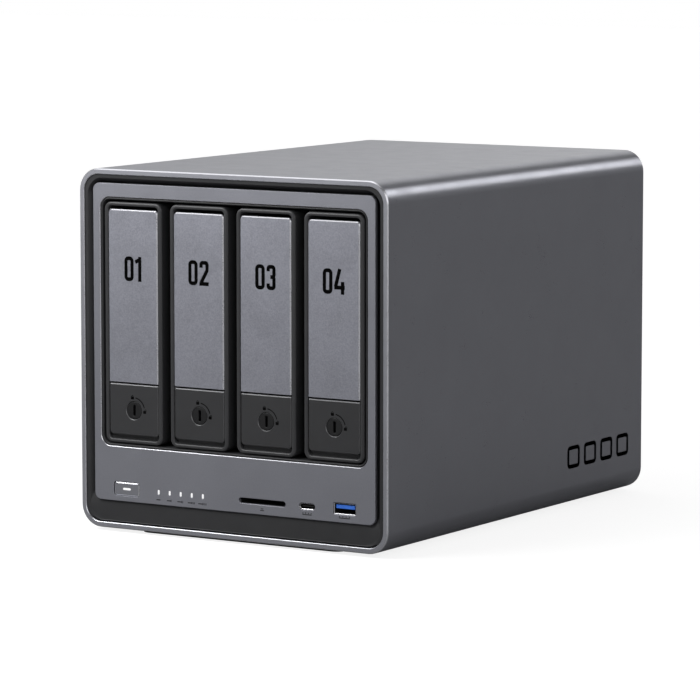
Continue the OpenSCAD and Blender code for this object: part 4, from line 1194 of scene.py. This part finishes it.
def build_world():
    """A dark studio with soft bright panels, and a white backdrop where the camera looks past the object."""
    scene = bpy.context.scene
    world = bpy.data.worlds.new("studio")
    scene.world = world
    world.use_nodes = True
    tree = world.node_tree

    def node(kind, inputs, output=0):
        made = tree.nodes.new(kind)
        feed(tree, made, inputs)
        return made.outputs[output]

    def calculate(operation, *inputs):
        made = tree.nodes.new("ShaderNodeMath")
        made.operation = operation
        feed(tree, made, dict(enumerate(inputs)))
        return made.outputs[0]

    def step_up(value, at, soft):
        ramp = tree.nodes.new("ShaderNodeMapRange")
        ramp.interpolation_type = "SMOOTHERSTEP"
        start, end = math.radians(at - soft / 2), math.radians(at + soft / 2)
        feed(tree, ramp, {"Value": value, "From Min": start, "From Max": end})
        return ramp.outputs[0]

    parts = tree.nodes.new("ShaderNodeSeparateXYZ")
    feed(tree, parts, {0: node("ShaderNodeTexCoord", {}, "Generated")})
    bearing = calculate("ARCTAN2", parts.outputs["X"], parts.outputs["Y"])
    height = calculate("ARCSINE", parts.outputs["Z"])
    total = AMBIENT
    for _, (left, right), (low, high), soft, level in PANELS:
        across = calculate("SUBTRACT", step_up(bearing, left, soft), step_up(bearing, right, soft))
        upright = calculate("SUBTRACT", step_up(height, low, soft), step_up(height, high, soft))
        total = calculate("MULTIPLY_ADD", calculate("MULTIPLY", across, upright), level, total)
    studio = tree.nodes["Background"]
    feed(tree, studio, {"Color": (1, 1, 1, 1), "Strength": total})
    backdrop = node("ShaderNodeBackground", {"Color": (1, 1, 1, 1), "Strength": 1})
    seen = node("ShaderNodeLightPath", {}, "Is Camera Ray")
    mix = node("ShaderNodeMixShader", {"Fac": seen, 1: studio.outputs[0], 2: backdrop})
    feed(tree, tree.nodes["World Output"], {"Surface": mix})


def build_stage():
    floor = Solid(from_below)
    floor.cap(floor.ring(Outline(-6, 6, -6, 6, 0.01), 0))
    pale = Finish("pale_floor", (0.27, 0.27, 0.27, 1), 0.9, specular=0.1)
    pale.tint(pale.noise(0.5), 0.005)
    material = pale.done()
    seen = pale.node("ShaderNodeLightPath").outputs["Is Camera Ray"]
    glow = pale.math("MULTIPLY", seen, 0.85)
    feed(pale.tree, pale.shader, {"Emission Color": (1, 1, 1, 1), "Emission Strength": glow})
    floor.make("floor", [material])
    bpy.context.scene.view_settings.view_transform = "Standard"
    build_world()


def look(thing, place, aim):
    """Puts a light or camera at a place, looking at its aim."""
    thing.location = place
    thing.rotation_euler = (Vector(aim) - Vector(place)).to_track_quat("-Z", "Y").to_euler()
    bpy.context.scene.collection.objects.link(thing)


def build_lights():
    data = bpy.data.lights.new("front_box", "AREA")
    data.shape = "RECTANGLE"
    data.size, data.size_y = 0.4, 0.2
    data.energy = 2.3
    look(bpy.data.objects.new("front_box", data), (-0.24, -0.40, 0.40), (0, -0.13, 0.15))


def build_camera():
    """The camera that the photograph was taken with, solved from the case's corners."""
    azimuth, elevation, distance = math.radians(31.875), math.radians(6.654), 2.051
    aim = Vector((0, -0.0194, 0.0823 + shell_low.z))
    level = math.cos(elevation)
    back = Vector((math.sin(azimuth) * level, -math.cos(azimuth) * level, math.sin(elevation)))
    data = bpy.data.cameras.new("camera")
    data.lens = 208.2
    data.sensor_width = 36
    data.clip_end = 50
    camera = bpy.data.objects.new("camera", data)
    look(camera, aim + back * distance, aim)
    bpy.context.scene.camera = camera


build_stage()
build_lights()
build_camera()
build_sleeve()
build_bezel()
build_fascia()
build_controls()
build_front_ports()
for bay in BAYS:
    build_tray(bay)
    build_face_plate(bay)
    build_numbers(bay)
    build_latch(bay)
build_rear_panel()
build_filter()
build_fan()
build_side_mark()
dress_kept_nodes()
